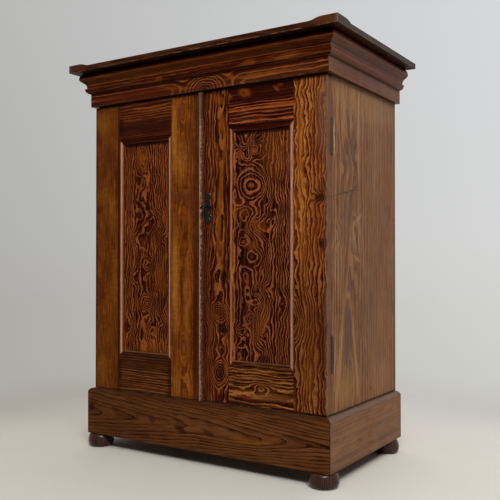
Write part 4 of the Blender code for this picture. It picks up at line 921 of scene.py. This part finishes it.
    def paint(self):
        """Mix the board's colour, polish and relief, and hand over the material."""
        fibre = self.noise(self.local, FIBRE_LUMPS, self.seed, 3.0, 0.6)
        base = self.fibrous(self.stained(self.streaked(self.lines())), fibre)
        if self.figure["wear"]:
            base = self.worn(base)
        self.put(self.shader.inputs["Base Color"], base)
        gloss = self.figure["gloss"]
        rough = self.mixed(self.place, "polish", gloss - 0.06, gloss + 0.09)
        self.put(self.shader.inputs["Roughness"], rough)
        self.shader.inputs["Specular IOR Level"].default_value = self.figure["sheen"]
        relief = self.math("MULTIPLY_ADD", self.math("PINGPONG", self.phase, 0.5), 0.5, fibre)
        self.bump(relief, strength=0.35, distance=0.0005)
        return self.material


def wood(node, finish, seed, **changes):
    """A board's own material, with what its figure and the changes don't name as on a plain board."""
    return Board(node, finish, seed, {**PLAIN_BOARD, **FIGURES.get(node, {}), **changes}).paint()


def ironwork(name, metallic=0.85, gloss=0.42, clean="iron"):
    """Dark aged iron: brown bloom in patches, fine pitting and uneven polish."""
    tints = settings("iron")
    recipe = Recipe(name)
    bloom = recipe.noise(recipe.place, (0.012, 0.012, 0.012), 1.0, 4.0, 0.65)
    base = recipe.blend(recipe.between(bloom, 0.45, 0.70, 0.0, 0.8), tuple(getattr(tints, clean)),
                        tuple(tints.rust))
    recipe.put(recipe.shader.inputs["Base Color"], base)
    recipe.shader.inputs["Metallic"].default_value = metallic
    pitting = recipe.noise(recipe.place, (0.0016, 0.0016, 0.0016), 2.0, 2.0, 0.6)
    rough = recipe.between(bloom, 0.3, 0.7, gloss - 0.10, gloss + 0.14)
    recipe.put(recipe.shader.inputs["Roughness"], rough)
    recipe.bump(pitting, strength=0.3, distance=0.0002)
    return recipe.material


def repaint(node, material):
    """Give a CAD node that stays as it is a finished material."""
    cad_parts[node].material_slots[0].material = material


# Pieces

def dress_case():
    """Sides, inner boards, shelves, cleats, back boards and corner blocks."""
    for place, (side, _) in enumerate(SIDES):
        repaint(f"side_{side}", wood(f"side_{side}", "case", 11.0 + 3 * place))
    plain = dict(gloss=0.68, sheen=0.2, wear=0.25)
    for board in (1, 2, 3):
        name = f"back_board_{board}"
        repaint(name, wood(name, "raw", 20.0 + board, heart=(30 * (board - 2), 60), ring=8,
                           taper=4.0 - 2 * board, contrast=0.7, **plain))
    for place, name in enumerate(("bottom_board", "case_top", "shelf_1", "shelf_2")):
        repaint(name, wood(name, "raw", 30.0 + place, grain="flat_across", face="top",
                           heart=(50, -50), ring=9, contrast=0.7, **plain))
    for side, _ in SIDES:
        for level in (1, 2):
            name = f"shelf_cleat_{side}_{level}"
            repaint(name, wood(name, "raw", 36.0 + level, grain="flat_deep", face="top",
                               heart=(30, 30), **plain))
        for end in ("front", "back"):
            name = f"corner_block_{end}_{side}"
            repaint(name, wood(name, "raw", 40.0, heart=(50, 40), **plain))
    for name in ("plinth_back", "plinth_rail", "frieze_back"):
        repaint(name, wood(name, "raw", 43.0, grain="across", heart=(15, 50), ring=9, **plain))


def dress_door(side, body, finishes, seed):
    """A door's stiles, rails and panel.  The stiles and rails are copies of the CAD solids with eased
    edges; the panel stays as it is."""
    ease = settings("wood").edge_round
    for place, (board, finish) in enumerate(finishes.items()):
        node = f"{side}_{board}"
        material = wood(node, finish, seed + place)
        if board == "panel":
            repaint(node, material)
        else:
            eased_copy(f"{node}_wood", node, material, body, ease)


def dress_left_door():
    """Golden stiles, dark rails and a panel of small restless figure."""
    dress_door("left", "left_door", {"hinge_stile": "gold", "meeting_stile": "gold", "top_rail": "dark",
                                     "bottom_rail": "dark", "panel": "dark"}, 1.0)


def dress_right_door():
    """Bold dark figure with two great eyes on the panel, knots on the meeting stile."""
    dress_door("right", "right_door", {"meeting_stile": "dark", "top_rail": "dark", "bottom_rail": "dark",
                                       "hinge_stile": "red", "panel": "dark"}, 6.0)


def lay_meeting_bead():
    """The bead over the doors' meeting edges.

    Across, it is a superellipse: half the width times the cosine to the power 2/n, and the rise times
    the sine to the power 2/n.  n goes from the bead's to that of its square head, along a tongue.
    """
    shapes = settings("shapes")
    bead_power, square_power = 2.3, 14.0
    waist, sink = 0.10, 0.12    # shares that the tongue is narrower, and the square head flatter
    low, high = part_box("meeting_bead")
    middle, half, rise = (low.x + high.x) / 2, (high.x - low.x) / 2, high.y - low.y
    square = high.z - shapes.strip_square
    heights = np.concatenate([np.linspace(low.z, square - shapes.strip_tongue, 12),
                              np.linspace(square - shapes.strip_tongue, square, 14)[1:], [high.z]])
    along = smooth_step((heights - square + shapes.strip_tongue) / shapes.strip_tongue)
    power = (bead_power + (square_power - bead_power) * along ** 2)[:, None]
    narrow = (1.0 - waist * np.sin(np.pi * along))[:, None]
    angle = np.linspace(0.0, np.pi, 33)
    cosine, sine = np.cos(angle), np.sin(angle)
    x = middle + half * narrow * np.sign(cosine) * np.abs(cosine) ** (2 / power)
    y = high.y - rise * (1 - sink * along[:, None]) * np.abs(sine) ** (2 / power)
    z = np.repeat(heights[:, None], angle.size, axis=1)
    shell = lattice(np.stack([x, y, z], axis=-1), around=True, capped=True)
    piece("meeting_bead_wood", [shell], wood("meeting_bead", "bead", 12.0),
          "right_door", ("meeting_bead",), ease=0.0006)


def mitred_set(name, outline, finishes, seed, ease=0.0):
    """Front, left and right lengths of one outline, mitred together at the front corners."""
    mitre = CASE_SIDE - MITRE_GAP / 2
    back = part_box(f"{name}_right")[1].y - DOOR_FACE
    piece(f"{name}_front_wood",
          [sweep(outline, lambda out, up: -mitre - out, lambda out, up: mitre + out,
                 ((1, 0, 0), (0, -1, 0), (0, 0, 1)), (0, DOOR_FACE, 0), 12)],
          wood(f"{name}_front", finishes[0], seed),
          "carcass", (f"{name}_front",), ease)
    for side, sign in SIDES:
        node = f"{name}_{side}"
        piece(f"{node}_wood",
              [sweep(outline, lambda out, up: MITRE_GAP / 2 - out, square_end(back),
                     ((0, 1, 0), (sign, 0, 0), (0, 0, 1)), (sign * CASE_SIDE, DOOR_FACE, 0), 12)],
              wood(node, finishes[1], seed + 2 + sign),
              "carcass", (node,), ease)


def dress_cornice():
    """Frieze, and the crown moulding above it: a bead, a quirk and fillet, then a rising wave."""
    shapes = settings("shapes")
    low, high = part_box("frieze_front")
    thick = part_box("frieze_back")[1].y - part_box("frieze_back")[0].y
    out = shapes.frieze_out
    mitred_set("frieze", [(out - thick, low.z), (out, low.z), (out, high.z), (out - thick, high.z)],
               ("dark", "case"), 50.0, ease=settings("wood").edge_round)

    crown_low, crown_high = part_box("crown_front")
    foot = crown_low.z
    planted = out + SEAT_GAP
    bead = arc((planted, foot + shapes.bead_top), (shapes.bead_out - planted, shapes.bead_top), -90, 0, 10)
    step = 0.001            # height of the step from the bead into the quirk
    quirk = [(shapes.groove_out, foot + shapes.bead_top + step),
             (shapes.fillet_out, foot + shapes.fillet_top)]
    share = np.linspace(0.0, 1.0, 15)[1:]
    wave = np.stack([shapes.fillet_out + (shapes.crown_out - shapes.fillet_out) * smooth_step(share),
                     foot + shapes.fillet_top + (shapes.belly - shapes.fillet_top) * share], axis=1)
    lip = arc((shapes.crown_top_out, foot + shapes.belly),
              (shapes.crown_out - shapes.crown_top_out, crown_high.z - foot - shapes.belly), 0, 90, 9)[1:]
    outline = np.concatenate([[(planted, crown_high.z)], bead, quirk, wave, lip])
    mitred_set("crown", outline, ("dark", "case"), 54.0, ease=0.0005)


def lay_top_board():
    """The top board.

    Its upper face is the flat height plus, at each front corner, the rise times half a cosine wave along
    the front and a quarter circle along the side; the section across is carried from end to end.
    """
    shapes = settings("shapes")
    low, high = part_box("top_board")
    flat = high.z - shapes.ear_rise
    inset_x, inset_y = 0.15, 0.14       # from here inwards the grid is wide
    near = np.linspace(0.0, shapes.ear_front, 15)
    xs = np.concatenate([low.x + near, np.linspace(low.x + inset_x, high.x - inset_x, 6),
                         high.x - near[::-1]])
    ys = np.concatenate([low.y + shapes.ear_side * np.sin(np.linspace(0.0, QUARTER, 18)),
                         np.linspace(low.y + inset_y, high.y, 5)])
    along, across = np.meshgrid(xs, ys, indexing="ij")
    from_end = np.minimum(along - low.x, high.x - along)
    fall_front = 1 - smooth_step((from_end - shapes.ear_front + shapes.ear_slope) / shapes.ear_slope)
    reach = np.clip((across - low.y - shapes.ear_side + shapes.ear_curve) / shapes.ear_curve, 0.0, 1.0)
    fall_side = np.sqrt(1 - reach ** 2)
    upper = np.stack([along, across, flat + shapes.ear_rise * fall_front * fall_side], axis=-1)
    lower = upper[:, [-1, 0]].copy()
    lower[..., 2] = low.z
    points = np.concatenate([upper, lower], axis=1)
    piece("top_board_wood", [lattice(points, around=True, capped=True)], wood("top_board", "dark", 60.0),
          "carcass", ("top_board",), shapes.top_round, crease=40.0, segments=3)


def dress_plinth():
    """Plinth boards with a rounded upper edge, mitred at the front."""
    shapes = settings("shapes")
    low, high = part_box("plinth_front")
    out = DOOR_FACE - low.y
    foot, round_edge = shapes.plinth_foot_round, shapes.plinth_round
    inner = out - shapes.plinth_board
    outline = np.concatenate([
        [(inner, low.z)],
        arc((out - foot, low.z + foot), (foot, foot), -90, 0, 5),
        arc((shapes.plinth_flat, high.z - round_edge), (out - shapes.plinth_flat, round_edge), 0, 90, 12),
        [(inner, high.z)]])
    mitred_set("plinth", outline, ("brown", "case"), 62.0)


def turn_feet():
    """Four turned bun feet: two quarter ellipses above and below the belly."""
    shapes = settings("shapes")
    belly, widest = shapes.foot_belly, shapes.foot_round
    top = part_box("plinth_front")[0].z - SEAT_GAP
    for end in ("front", "back"):
        for side, _ in SIDES:
            node = f"foot_{end}_{side}"
            low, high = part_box(node)
            lower = arc((shapes.foot_base, belly), (widest - shapes.foot_base, belly - low.z), -90, 0, 9)
            upper = arc((shapes.foot_top, belly), (widest - shapes.foot_top, top - belly), 0, 90, 10)
            profile = np.concatenate([[(0.0, low.z)], lower, upper[1:], [(0.0, top)]])
            material = wood(node, "foot", 70.0 + low.x, heart=(150, 50), ring=4.2,
                            drift=(3, 30, 100), patch=0.5, gloss=0.26, sheen=0.28, wear=0.0)
            centre = ((low.x + high.x) / 2, (low.y + high.y) / 2, 0.0)
            piece(f"{node}_wood", [turned(profile, centre)], material,
                  "carcass", (node,), ease=0.0008)


def fit_hinges():
    """Four butt hinges: leaves, knuckles that share a pin, ball finials and countersunk screws."""
    iron = settings("iron")
    # The hinges take the dark hinge colour, which is partly painted shade.
    material = ironwork("hinge_iron", metallic=0.3, gloss=0.5, clean="painted")
    axis_y = (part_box("hinge_case_right_lower")[0].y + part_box("hinge_case_right_lower")[1].y) / 2
    for side, sign in SIDES:
        axis_x = sign * (CASE_SIDE + iron.hinge_pin_out)
        for level in ("lower", "upper"):
            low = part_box(f"hinge_case_{side}_{level}")[0].z + iron.finial
            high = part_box(f"hinge_case_{side}_{level}")[1].z - iron.finial
            for member, way, body in (("case", 1, "carcass"), ("door", -1, f"{side}_door")):
                node = f"hinge_{member}_{side}_{level}"
                shells = hinge_leaf(sign, way, axis_x, axis_y, low, high)
                if member == "case":
                    ball = arc((0.0, 0.0), (iron.finial, iron.finial), -90, 90, 10)
                    shells += [turned(ball, (axis_x, axis_y, end), sides=20) for end in (low, high)]
                piece(f"{node}_iron", shells, material, body, (node,))


def hinge_leaf(sign, way, axis_x, axis_y, low, high):
    """One leaf of a hinge: its plate, its share of the five knuckles, and three slotted screws."""
    iron = settings("iron")
    knuckles, play = 5, 0.0004      # play between two knuckles
    soft = 0.0005                   # bevel of a knuckle's ends
    parting = 0.00015               # from the middle of the hinge to a leaf
    overlap = 0.0005                # of a knuckle and its plate
    screws = (0.14, 0.5, 0.86)      # their places, as shares of the hinge's height
    screw_depth, screw_rise = 0.0006, 0.00008
    slot_angle = 9                  # what a screw's slot takes from each end of a half head, in degrees
    near = axis_y + way * parting
    far = near + way * iron.leaf
    edge = sign * (CASE_SIDE - iron.leaf_width)
    stop = axis_x - sign * (iron.knuckle + play)
    back, front = min(near, far), max(near, far)
    shells = [block((min(edge, stop), back, low), (max(edge, stop), front, high))]
    pitch = (high - low) / knuckles
    for place in range(0 if way > 0 else 1, knuckles, 2):
        bottom, top = low + place * pitch + play / 2, low + (place + 1) * pitch - play / 2
        profile = [(0.0, bottom), (iron.knuckle - soft, bottom), (iron.knuckle, bottom + soft),
                   (iron.knuckle, top - soft), (iron.knuckle - soft, top), (0.0, top)]
        shells.append(turned(profile, (axis_x, axis_y, 0.0), sides=32))
        inside, outside = sorted((stop - sign * overlap, axis_x))
        shells.append(block((inside, back, bottom), (outside, front, top)))
    middle = (edge + stop) / 2
    for share in screws:
        for half in (0, 180):
            outline = arc((0.0, 0.0), (iron.screw, iron.screw), half + slot_angle,
                          half + 180 - slot_angle, 12)
            shells.append(sweep(outline, square_end(-screw_depth), square_end(screw_rise),
                                ((0, -way, 0), (1, 0, 0), (0, 0, 1)),
                                (middle, near, low + (high - low) * share)))
    return shells


def escutcheon_width(height, half_height, half_width):
    """Half width of the plate at a height: the fourth-power mean of the chords of a column of discs,
    each with its height and its radius as shares of the plate's half height and half width."""
    discs = ((0.06, 0.98), (0.34, 0.72), (-0.26, 0.84), (0.76, 0.84), (-0.62, 0.98), (-0.80, 0.80),
             (0.95, 0.30), (-0.95, 0.30))
    neck = 0.16             # least half width, as a share
    total = np.full_like(height, (neck * half_width) ** 4)
    for level, share in discs:
        radius = share * half_width
        chord = np.sqrt(np.maximum(0.0, radius ** 2 - (height - level * half_height) ** 2))
        total = total + chord ** 4
    return np.minimum(half_width, total ** 0.25)


def fit_escutcheon():
    """The cast plate round the keyhole.

    Its face is the plate's thickness, or a round dome where one stands higher, with a raised rim, and
    it sinks below the door's face inside the keyhole.  Across, the grid runs from edge to edge.
    """
    iron = settings("iron")
    low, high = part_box("escutcheon")
    key_x, key_z = (KEY_BOX[0].x + KEY_BOX[1].x) / 2, (KEY_BOX[0].z + KEY_BOX[1].z) / 2
    middle_x, middle_z = (low.x + high.x) / 2, (low.z + high.z) / 2
    half_width, half_height = (high.x - low.x) / 2, (high.z - low.z) / 2
    turn = np.linspace(0.0, np.pi, 121)
    height = half_height * np.cos(turn)
    width = escutcheon_width(height, half_height, half_width)
    share = np.sin(np.linspace(-np.pi / 2, np.pi / 2, 41))
    x = width[:, None] * share[None, :]
    z = np.repeat(height[:, None], share.size, axis=1)
    relief = np.full_like(x, iron.plate)
    # Bosses: place across and up, radius, and share of the full height
    bosses = ((0.0, 0.0375, 0.0090, 1.2), (0.0, -0.0165, 0.0055, 1.0), (0.0, -0.0360, 0.0085, 1.2),
              (0.0070, 0.024, 0.0034, 0.5), (-0.0070, 0.024, 0.0034, 0.5), (0.0085, -0.024, 0.0032, 0.4),
              (-0.0085, -0.024, 0.0032, 0.4), (0.0, 0.0175, 0.0050, 0.6))
    for across, up, radius, rise in bosses:
        apart = ((x - across) ** 2 + (z - up) ** 2) / radius ** 2
        dome = iron.plate + rise * iron.boss * np.sqrt(np.maximum(0.0, 1.0 - apart))
        relief = np.maximum(relief, dome)
    from_edge = 1 - np.abs(share)
    rim_rise, edge_fall, least = 0.0005, 0.0006, 0.0004
    relief = relief + rim_rise * np.exp(-((from_edge - 0.16) / 0.09) ** 2)
    relief = relief - edge_fall * np.exp(-(from_edge / 0.10) ** 2)
    hole_x, hole_z = key_x - middle_x, key_z - middle_z
    slot_half, slot_length, hole_depth = 0.0019, 0.009, 0.0030
    round_hole = np.hypot(x - hole_x, z - hole_z) < iron.keyhole
    slot = (np.abs(x - hole_x) < slot_half) & (z < hole_z) & (z > hole_z - slot_length)
    relief = np.where(round_hole | slot, -hole_depth, np.maximum(relief, least))
    face = np.stack([middle_x + x, high.y - relief, middle_z + z], axis=-1)
    back = face[:, ::-1].copy()
    back[..., 1] = high.y
    piece("escutcheon_iron", [lattice(np.concatenate([face, back], axis=1), around=True, capped=True)],
          ironwork("escutcheon_iron", metallic=0.9, gloss=0.28),
          "right_door", ("escutcheon",), crease=60.0)


def fit_key():
    """The key: an oval bow that lies nearly level, a turned collar, the shank and the bit."""
    iron = settings("iron")
    low, high = KEY_BOX
    key_x = (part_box("escutcheon")[0].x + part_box("escutcheon")[1].x) / 2
    key_z = (low.z + high.z) / 2
    middle = DOOR_FACE - iron.bow_reach
    round_bow = np.linspace(0, 2 * np.pi, 48, endpoint=False)
    tube = np.linspace(0, 2 * np.pi, 16, endpoint=False)
    longer, shallow, flat = 0.06, 0.96, 0.9     # shares that make the bow oval and its rim flat
    reach = iron.bow * (1 + longer * np.cos(2 * round_bow))
    section = reach[:, None] + iron.bow_wire * np.cos(tube)[None, :]
    wide = section * np.cos(round_bow)[:, None]
    thick = iron.bow_wire * flat * np.repeat(np.sin(tube)[None, :], round_bow.size, axis=0)
    tip_up = math.radians(iron.bow_tilt)
    ring = np.stack([key_x + wide * math.cos(tip_up) - thick * math.sin(tip_up),
                     middle + section * shallow * np.sin(round_bow)[:, None],
                     key_z + wide * math.sin(tip_up) + thick * math.cos(tip_up)], axis=-1)
    shank, soft = iron.shank, 0.0005
    start, tip = middle + iron.bow - soft, high.y
    # The collar: shares of the shank's radius, and distances from where the shank leaves the bow
    collar = ((0.0, 0.0), (0.9, 0.0), (1.15, 0.0010), (1.65, 0.0016), (1.65, 0.0028), (1.1, 0.0034),
              (1.35, 0.0046), (1.35, 0.0054), (1.0, 0.0062))
    profile = [(shank * share, start + way) for share, way in collar]
    profile += [(shank, tip - soft), (shank * 0.8, tip), (0.0, tip)]
    bit_half, bit_start, bit_end = 0.0014, 0.0075, 0.0006      # half thickness, and ends from the tip
    bit = block((key_x, tip - bit_start, key_z - bit_half), (high.x, tip - bit_end, key_z + bit_half))
    piece("key_iron",
          [lattice(ring, around=True, ring=True), turned(profile, (key_x, 0.0, key_z), "Y", 32), bit],
          ironwork("key_iron", metallic=0.95, gloss=0.32), "key", ("key",), crease=50.0)


def fit_lock():
    """Lock case, bolt, keeper and slide bolt, with eased edges."""
    material = ironwork("lock_iron")
    for node, body in (("lock_case", "right_door"), ("lock_bolt", "lock_bolt"),
                       ("bolt_keeper", "left_door"), ("slide_bolt_plate", "left_door"),
                       ("slide_bolt", "left_door_bolt")):
        eased_copy(f"{node}_iron", node, material, body, ease=0.0003)


# Stage

SENSOR = 36.0       # width of the camera's sensor in millimetres
WALL_REACH = 7.0    # way along the floor and up the wall that the tones cover
# Tones of the floor and backdrop at the left and at the right: (way along the floor and up, left, right).
# The left tones are darker than the right: painted shade.
BACKDROP = (
    (0.80, (0.470, 0.440, 0.390), (0.600, 0.580, 0.540)),
    (1.20, (0.408, 0.386, 0.342), (0.560, 0.540, 0.510)),
    (1.85, (0.429, 0.413, 0.386), (0.597, 0.603, 0.564)),
    (3.70, (0.410, 0.394, 0.370), (0.660, 0.666, 0.628)),
    (4.70, (0.425, 0.425, 0.418), (0.700, 0.700, 0.702)),
    (6.70, (0.468, 0.468, 0.460), (0.700, 0.708, 0.724)),
)


def set_stage():
    """Pale floor that turns up into a backdrop all round, a large soft lamp and the camera."""
    stage = settings("stage")
    scene = bpy.context.scene
    lay_floor()
    scene.world = bpy.data.worlds.new("ceiling")
    scene.world.use_nodes = True
    above = scene.world.node_tree.nodes["Background"]
    above.inputs["Color"].default_value = (1.0, 0.985, 0.965, 1.0)
    above.inputs["Strength"].default_value = stage.ceiling
    set_lamp("main_lamp", place=(2.5, -3.1, 3.1), target=(0.0, 0.0, 0.55), size=stage.main_size,
             power=stage.main_power)
    set_camera()
    scene.view_settings.view_transform = "Standard"


def lay_floor():
    """The floor and the backdrop in one turned sheet, closed at its middle."""
    flat, rise = settings("stage").flat, settings("stage").rise
    bend, lean, rings = 1.4, 0.1, 14    # radius of the turn up, outward lean of the wall, floor's rings
    curve = np.linspace(0.0, QUARTER, 16)[1:]
    radius = np.concatenate([np.linspace(0.0, flat, rings), flat + bend * np.sin(curve),
                             [flat + bend + lean]])
    height = np.concatenate([np.zeros(rings), bend * (1 - np.cos(curve)), [rise]])
    angle = np.linspace(0.0, 2 * np.pi, 96, endpoint=False)
    points = np.stack([radius[:, None] * np.cos(angle), radius[:, None] * np.sin(angle),
                       np.repeat(height[:, None], angle.size, axis=1)], axis=-1)
    verts, faces = lattice(points, around=True)
    shell = bpy.data.meshes.new("floor")
    shell.from_pydata(verts.tolist(), [], faces)
    whole = bmesh.new()
    whole.from_mesh(shell)
    bmesh.ops.remove_doubles(whole, verts=whole.verts, dist=1e-6)
    whole.to_mesh(shell)
    whole.free()
    shell.shade_smooth()
    shell.materials.append(floor_material())
    floor = bpy.data.objects.new("floor", shell)
    bpy.context.scene.collection.objects.link(floor)


def set_lamp(name, place, target, size, power):
    """A square soft lamp that faces a target."""
    data = bpy.data.lights.new(name, "AREA")
    data.size = size
    data.energy = power
    lamp = bpy.data.objects.new(name, data)
    lamp.location = place
    lamp.rotation_euler = (Vector(target) - Vector(place)).to_track_quat("-Z", "Y").to_euler()
    bpy.context.scene.collection.objects.link(lamp)


def set_camera():
    """The camera that the photograph was taken with, as far as its lines tell."""
    stage = settings("stage")
    data = bpy.data.cameras.new("camera")
    data.lens = stage.lens
    data.sensor_width = SENSOR
    data.clip_end = 50.0
    camera = bpy.data.objects.new("camera", data)
    camera.location = stage.camera
    camera.rotation_euler = (QUARTER + stage.tilt, stage.roll, stage.heading)
    bpy.context.scene.collection.objects.link(camera)
    bpy.context.scene.camera = camera


def floor_material():
    """A matt floor near the cupboard that fades into a backdrop of plain tones.

    The tones run with the way along the floor and up the backdrop, darker at the left as painted shade.
    Camera, glossy and transmission rays see them as they are.  Only the light they throw is dim in front
    at the left, as a room is behind a camera.
    """
    stage = settings("stage")
    recipe = Recipe("floor")
    turn = stage.heading
    rightward, forward = (math.cos(turn), math.sin(turn), 0.0), (-math.sin(turn), math.cos(turn), 0.0)
    across = recipe.vector("DOT_PRODUCT", recipe.place, rightward, output="Value")
    ahead = recipe.vector("DOT_PRODUCT", recipe.place, forward, output="Value")
    height = recipe.add("ShaderNodeSeparateXYZ", {0: recipe.place}, "Z")
    level_place = recipe.vector("MULTIPLY", recipe.place, (1.0, 1.0, 0.0))
    away = recipe.vector("LENGTH", level_place, output="Value")

    # The backdrop: its tones between left and right, and the share of them that lights the cupboard
    way = recipe.math("DIVIDE", recipe.math("ADD", away, height), WALL_REACH)
    left, right = (recipe.ramp(way, [(stop[0] / WALL_REACH, stop[side]) for stop in BACKDROP])
                   for side in (1, 2))
    share = recipe.math("DIVIDE", across, recipe.math("ADD", away, 0.15))
    tint = recipe.blend(recipe.between(share, -0.55, 0.62), left, right)
    path = recipe.tree.nodes.new("ShaderNodeLightPath")
    level = recipe.between(ahead, -1.2, 1.6, 0.06, 1.0)
    for ray in ("Is Camera Ray", "Is Glossy Ray", "Is Transmission Ray"):
        level = recipe.math("MAXIMUM", level, path.outputs[ray])
    backdrop = recipe.add("ShaderNodeEmission", {"Color": tint, "Strength": level})

    # The floor near the cupboard, darker at the left as painted shade
    near = recipe.blend(recipe.between(across, -0.9, 0.9), tuple(stage.floor_left),
                        tuple(stage.floor_right))
    mottle = recipe.noise(recipe.place, (0.25, 0.25, 0.25), 4.0, 3.0, 0.5)
    near = recipe.blend(recipe.between(mottle, 0.35, 0.65, 0.0, 0.035), near, (0.2, 0.18, 0.15))
    recipe.put(recipe.shader.inputs["Base Color"], near)
    recipe.shader.inputs["Roughness"].default_value = 0.65
    recipe.shader.inputs["Specular IOR Level"].default_value = 0.15
    grit = recipe.noise(recipe.place, (0.012, 0.012, 0.012), 5.0, 2.0, 0.5)
    recipe.bump(grit, strength=0.05, distance=0.001)

    # The floor fades behind the cupboard and away from it
    fade = recipe.math("MAXIMUM", *(
        recipe.add("ShaderNodeMapRange", {"Value": value, "From Min": first, "From Max": last},
                   interpolation_type="SMOOTHSTEP")
        for value, first, last in ((ahead, 0.10, 0.62), (away, 0.88, 1.25))))
    mixed = recipe.add("ShaderNodeMixShader", {0: fade, 1: recipe.shader.outputs[0], 2: backdrop})
    recipe.put(recipe.tree.nodes["Material Output"].inputs["Surface"], mixed)
    return recipe.material


# Operators

class CUPBOARD_OT_case(Operator):
    """Paint the case's sides, shelves, back and blocks"""
    bl_idname = "cupboard.case"
    bl_label = "Case"

    def execute(self, context):
        dress_case()
        return {"FINISHED"}


class CUPBOARD_OT_left_door(Operator):
    """Make the left door's frame and panel"""
    bl_idname = "cupboard.left_door"
    bl_label = "Left Door"

    def execute(self, context):
        dress_left_door()
        return {"FINISHED"}


class CUPBOARD_OT_right_door(Operator):
    """Make the right door's frame and panel"""
    bl_idname = "cupboard.right_door"
    bl_label = "Right Door"

    def execute(self, context):
        dress_right_door()
        return {"FINISHED"}


class CUPBOARD_OT_meeting_bead(Operator):
    """Lay the bead over the doors' meeting edges"""
    bl_idname = "cupboard.meeting_bead"
    bl_label = "Meeting Bead"

    def execute(self, context):
        lay_meeting_bead()
        return {"FINISHED"}


class CUPBOARD_OT_cornice(Operator):
    """Make the frieze and the crown moulding"""
    bl_idname = "cupboard.cornice"
    bl_label = "Cornice"

    def execute(self, context):
        dress_cornice()
        return {"FINISHED"}


class CUPBOARD_OT_top_board(Operator):
    """Lay the top board with its raised corners"""
    bl_idname = "cupboard.top_board"
    bl_label = "Top Board"

    def execute(self, context):
        lay_top_board()
        return {"FINISHED"}


class CUPBOARD_OT_plinth(Operator):
    """Make the plinth"""
    bl_idname = "cupboard.plinth"
    bl_label = "Plinth"

    def execute(self, context):
        dress_plinth()
        return {"FINISHED"}


class CUPBOARD_OT_feet(Operator):
    """Turn the four bun feet"""
    bl_idname = "cupboard.feet"
    bl_label = "Feet"

    def execute(self, context):
        turn_feet()
        return {"FINISHED"}


class CUPBOARD_OT_hinges(Operator):
    """Fit the four butt hinges"""
    bl_idname = "cupboard.hinges"
    bl_label = "Hinges"

    def execute(self, context):
        fit_hinges()
        return {"FINISHED"}


class CUPBOARD_OT_escutcheon(Operator):
    """Fit the plate round the keyhole"""
    bl_idname = "cupboard.escutcheon"
    bl_label = "Escutcheon"

    def execute(self, context):
        fit_escutcheon()
        return {"FINISHED"}


class CUPBOARD_OT_key(Operator):
    """Fit the key"""
    bl_idname = "cupboard.key"
    bl_label = "Key"

    def execute(self, context):
        fit_key()
        return {"FINISHED"}


class CUPBOARD_OT_lock(Operator):
    """Fit the lock, its keeper and the slide bolt"""
    bl_idname = "cupboard.lock"
    bl_label = "Lock and Bolts"

    def execute(self, context):
        fit_lock()
        return {"FINISHED"}


class CUPBOARD_OT_stage(Operator):
    """Set up the floor, the lamps and the camera"""
    bl_idname = "cupboard.stage"
    bl_label = "Stage"

    def execute(self, context):
        set_stage()
        return {"FINISHED"}


PIECES = ("case", "left_door", "right_door", "meeting_bead", "cornice", "top_board", "plinth", "feet",
          "hinges", "escutcheon", "key", "lock", "stage")


class CUPBOARD_PT_pieces(Panel):
    """The cupboard's pieces, its sizes and its colours"""
    bl_idname = "CUPBOARD_PT_pieces"
    bl_label = "Pine Cupboard"
    bl_space_type = "VIEW_3D"
    bl_region_type = "UI"
    bl_category = "Cupboard"

    def draw(self, context):
        for name in PIECES:
            self.layout.operator(f"cupboard.{name}")
        for group in GROUPS:
            box = self.layout.box()
            values = settings(group)
            for name in values.bl_rna.properties.keys():
                if name not in ("rna_type", "name"):
                    box.prop(values, name)


GROUPS = {"wood": CupboardWood, "shapes": CupboardShapes, "iron": CupboardIron, "stage": CupboardStage}
CLASSES = (*GROUPS.values(), CUPBOARD_OT_case, CUPBOARD_OT_left_door, CUPBOARD_OT_right_door,
           CUPBOARD_OT_meeting_bead, CUPBOARD_OT_cornice, CUPBOARD_OT_top_board, CUPBOARD_OT_plinth,
           CUPBOARD_OT_feet, CUPBOARD_OT_hinges, CUPBOARD_OT_escutcheon, CUPBOARD_OT_key,
           CUPBOARD_OT_lock, CUPBOARD_OT_stage, CUPBOARD_PT_pieces)


def register():
    for item in CLASSES:
        bpy.utils.register_class(item)
    for name, group in GROUPS.items():
        setattr(bpy.types.Scene, f"cupboard_{name}", PointerProperty(type=group))


def unregister():
    for name in GROUPS:
        delattr(bpy.types.Scene, f"cupboard_{name}")
    for item in reversed(CLASSES):
        bpy.utils.unregister_class(item)


def main():
    """Make every piece in order."""
    register()
    for name in PIECES:
        getattr(bpy.ops.cupboard, name)()


if __name__ == "__main__":
    main()
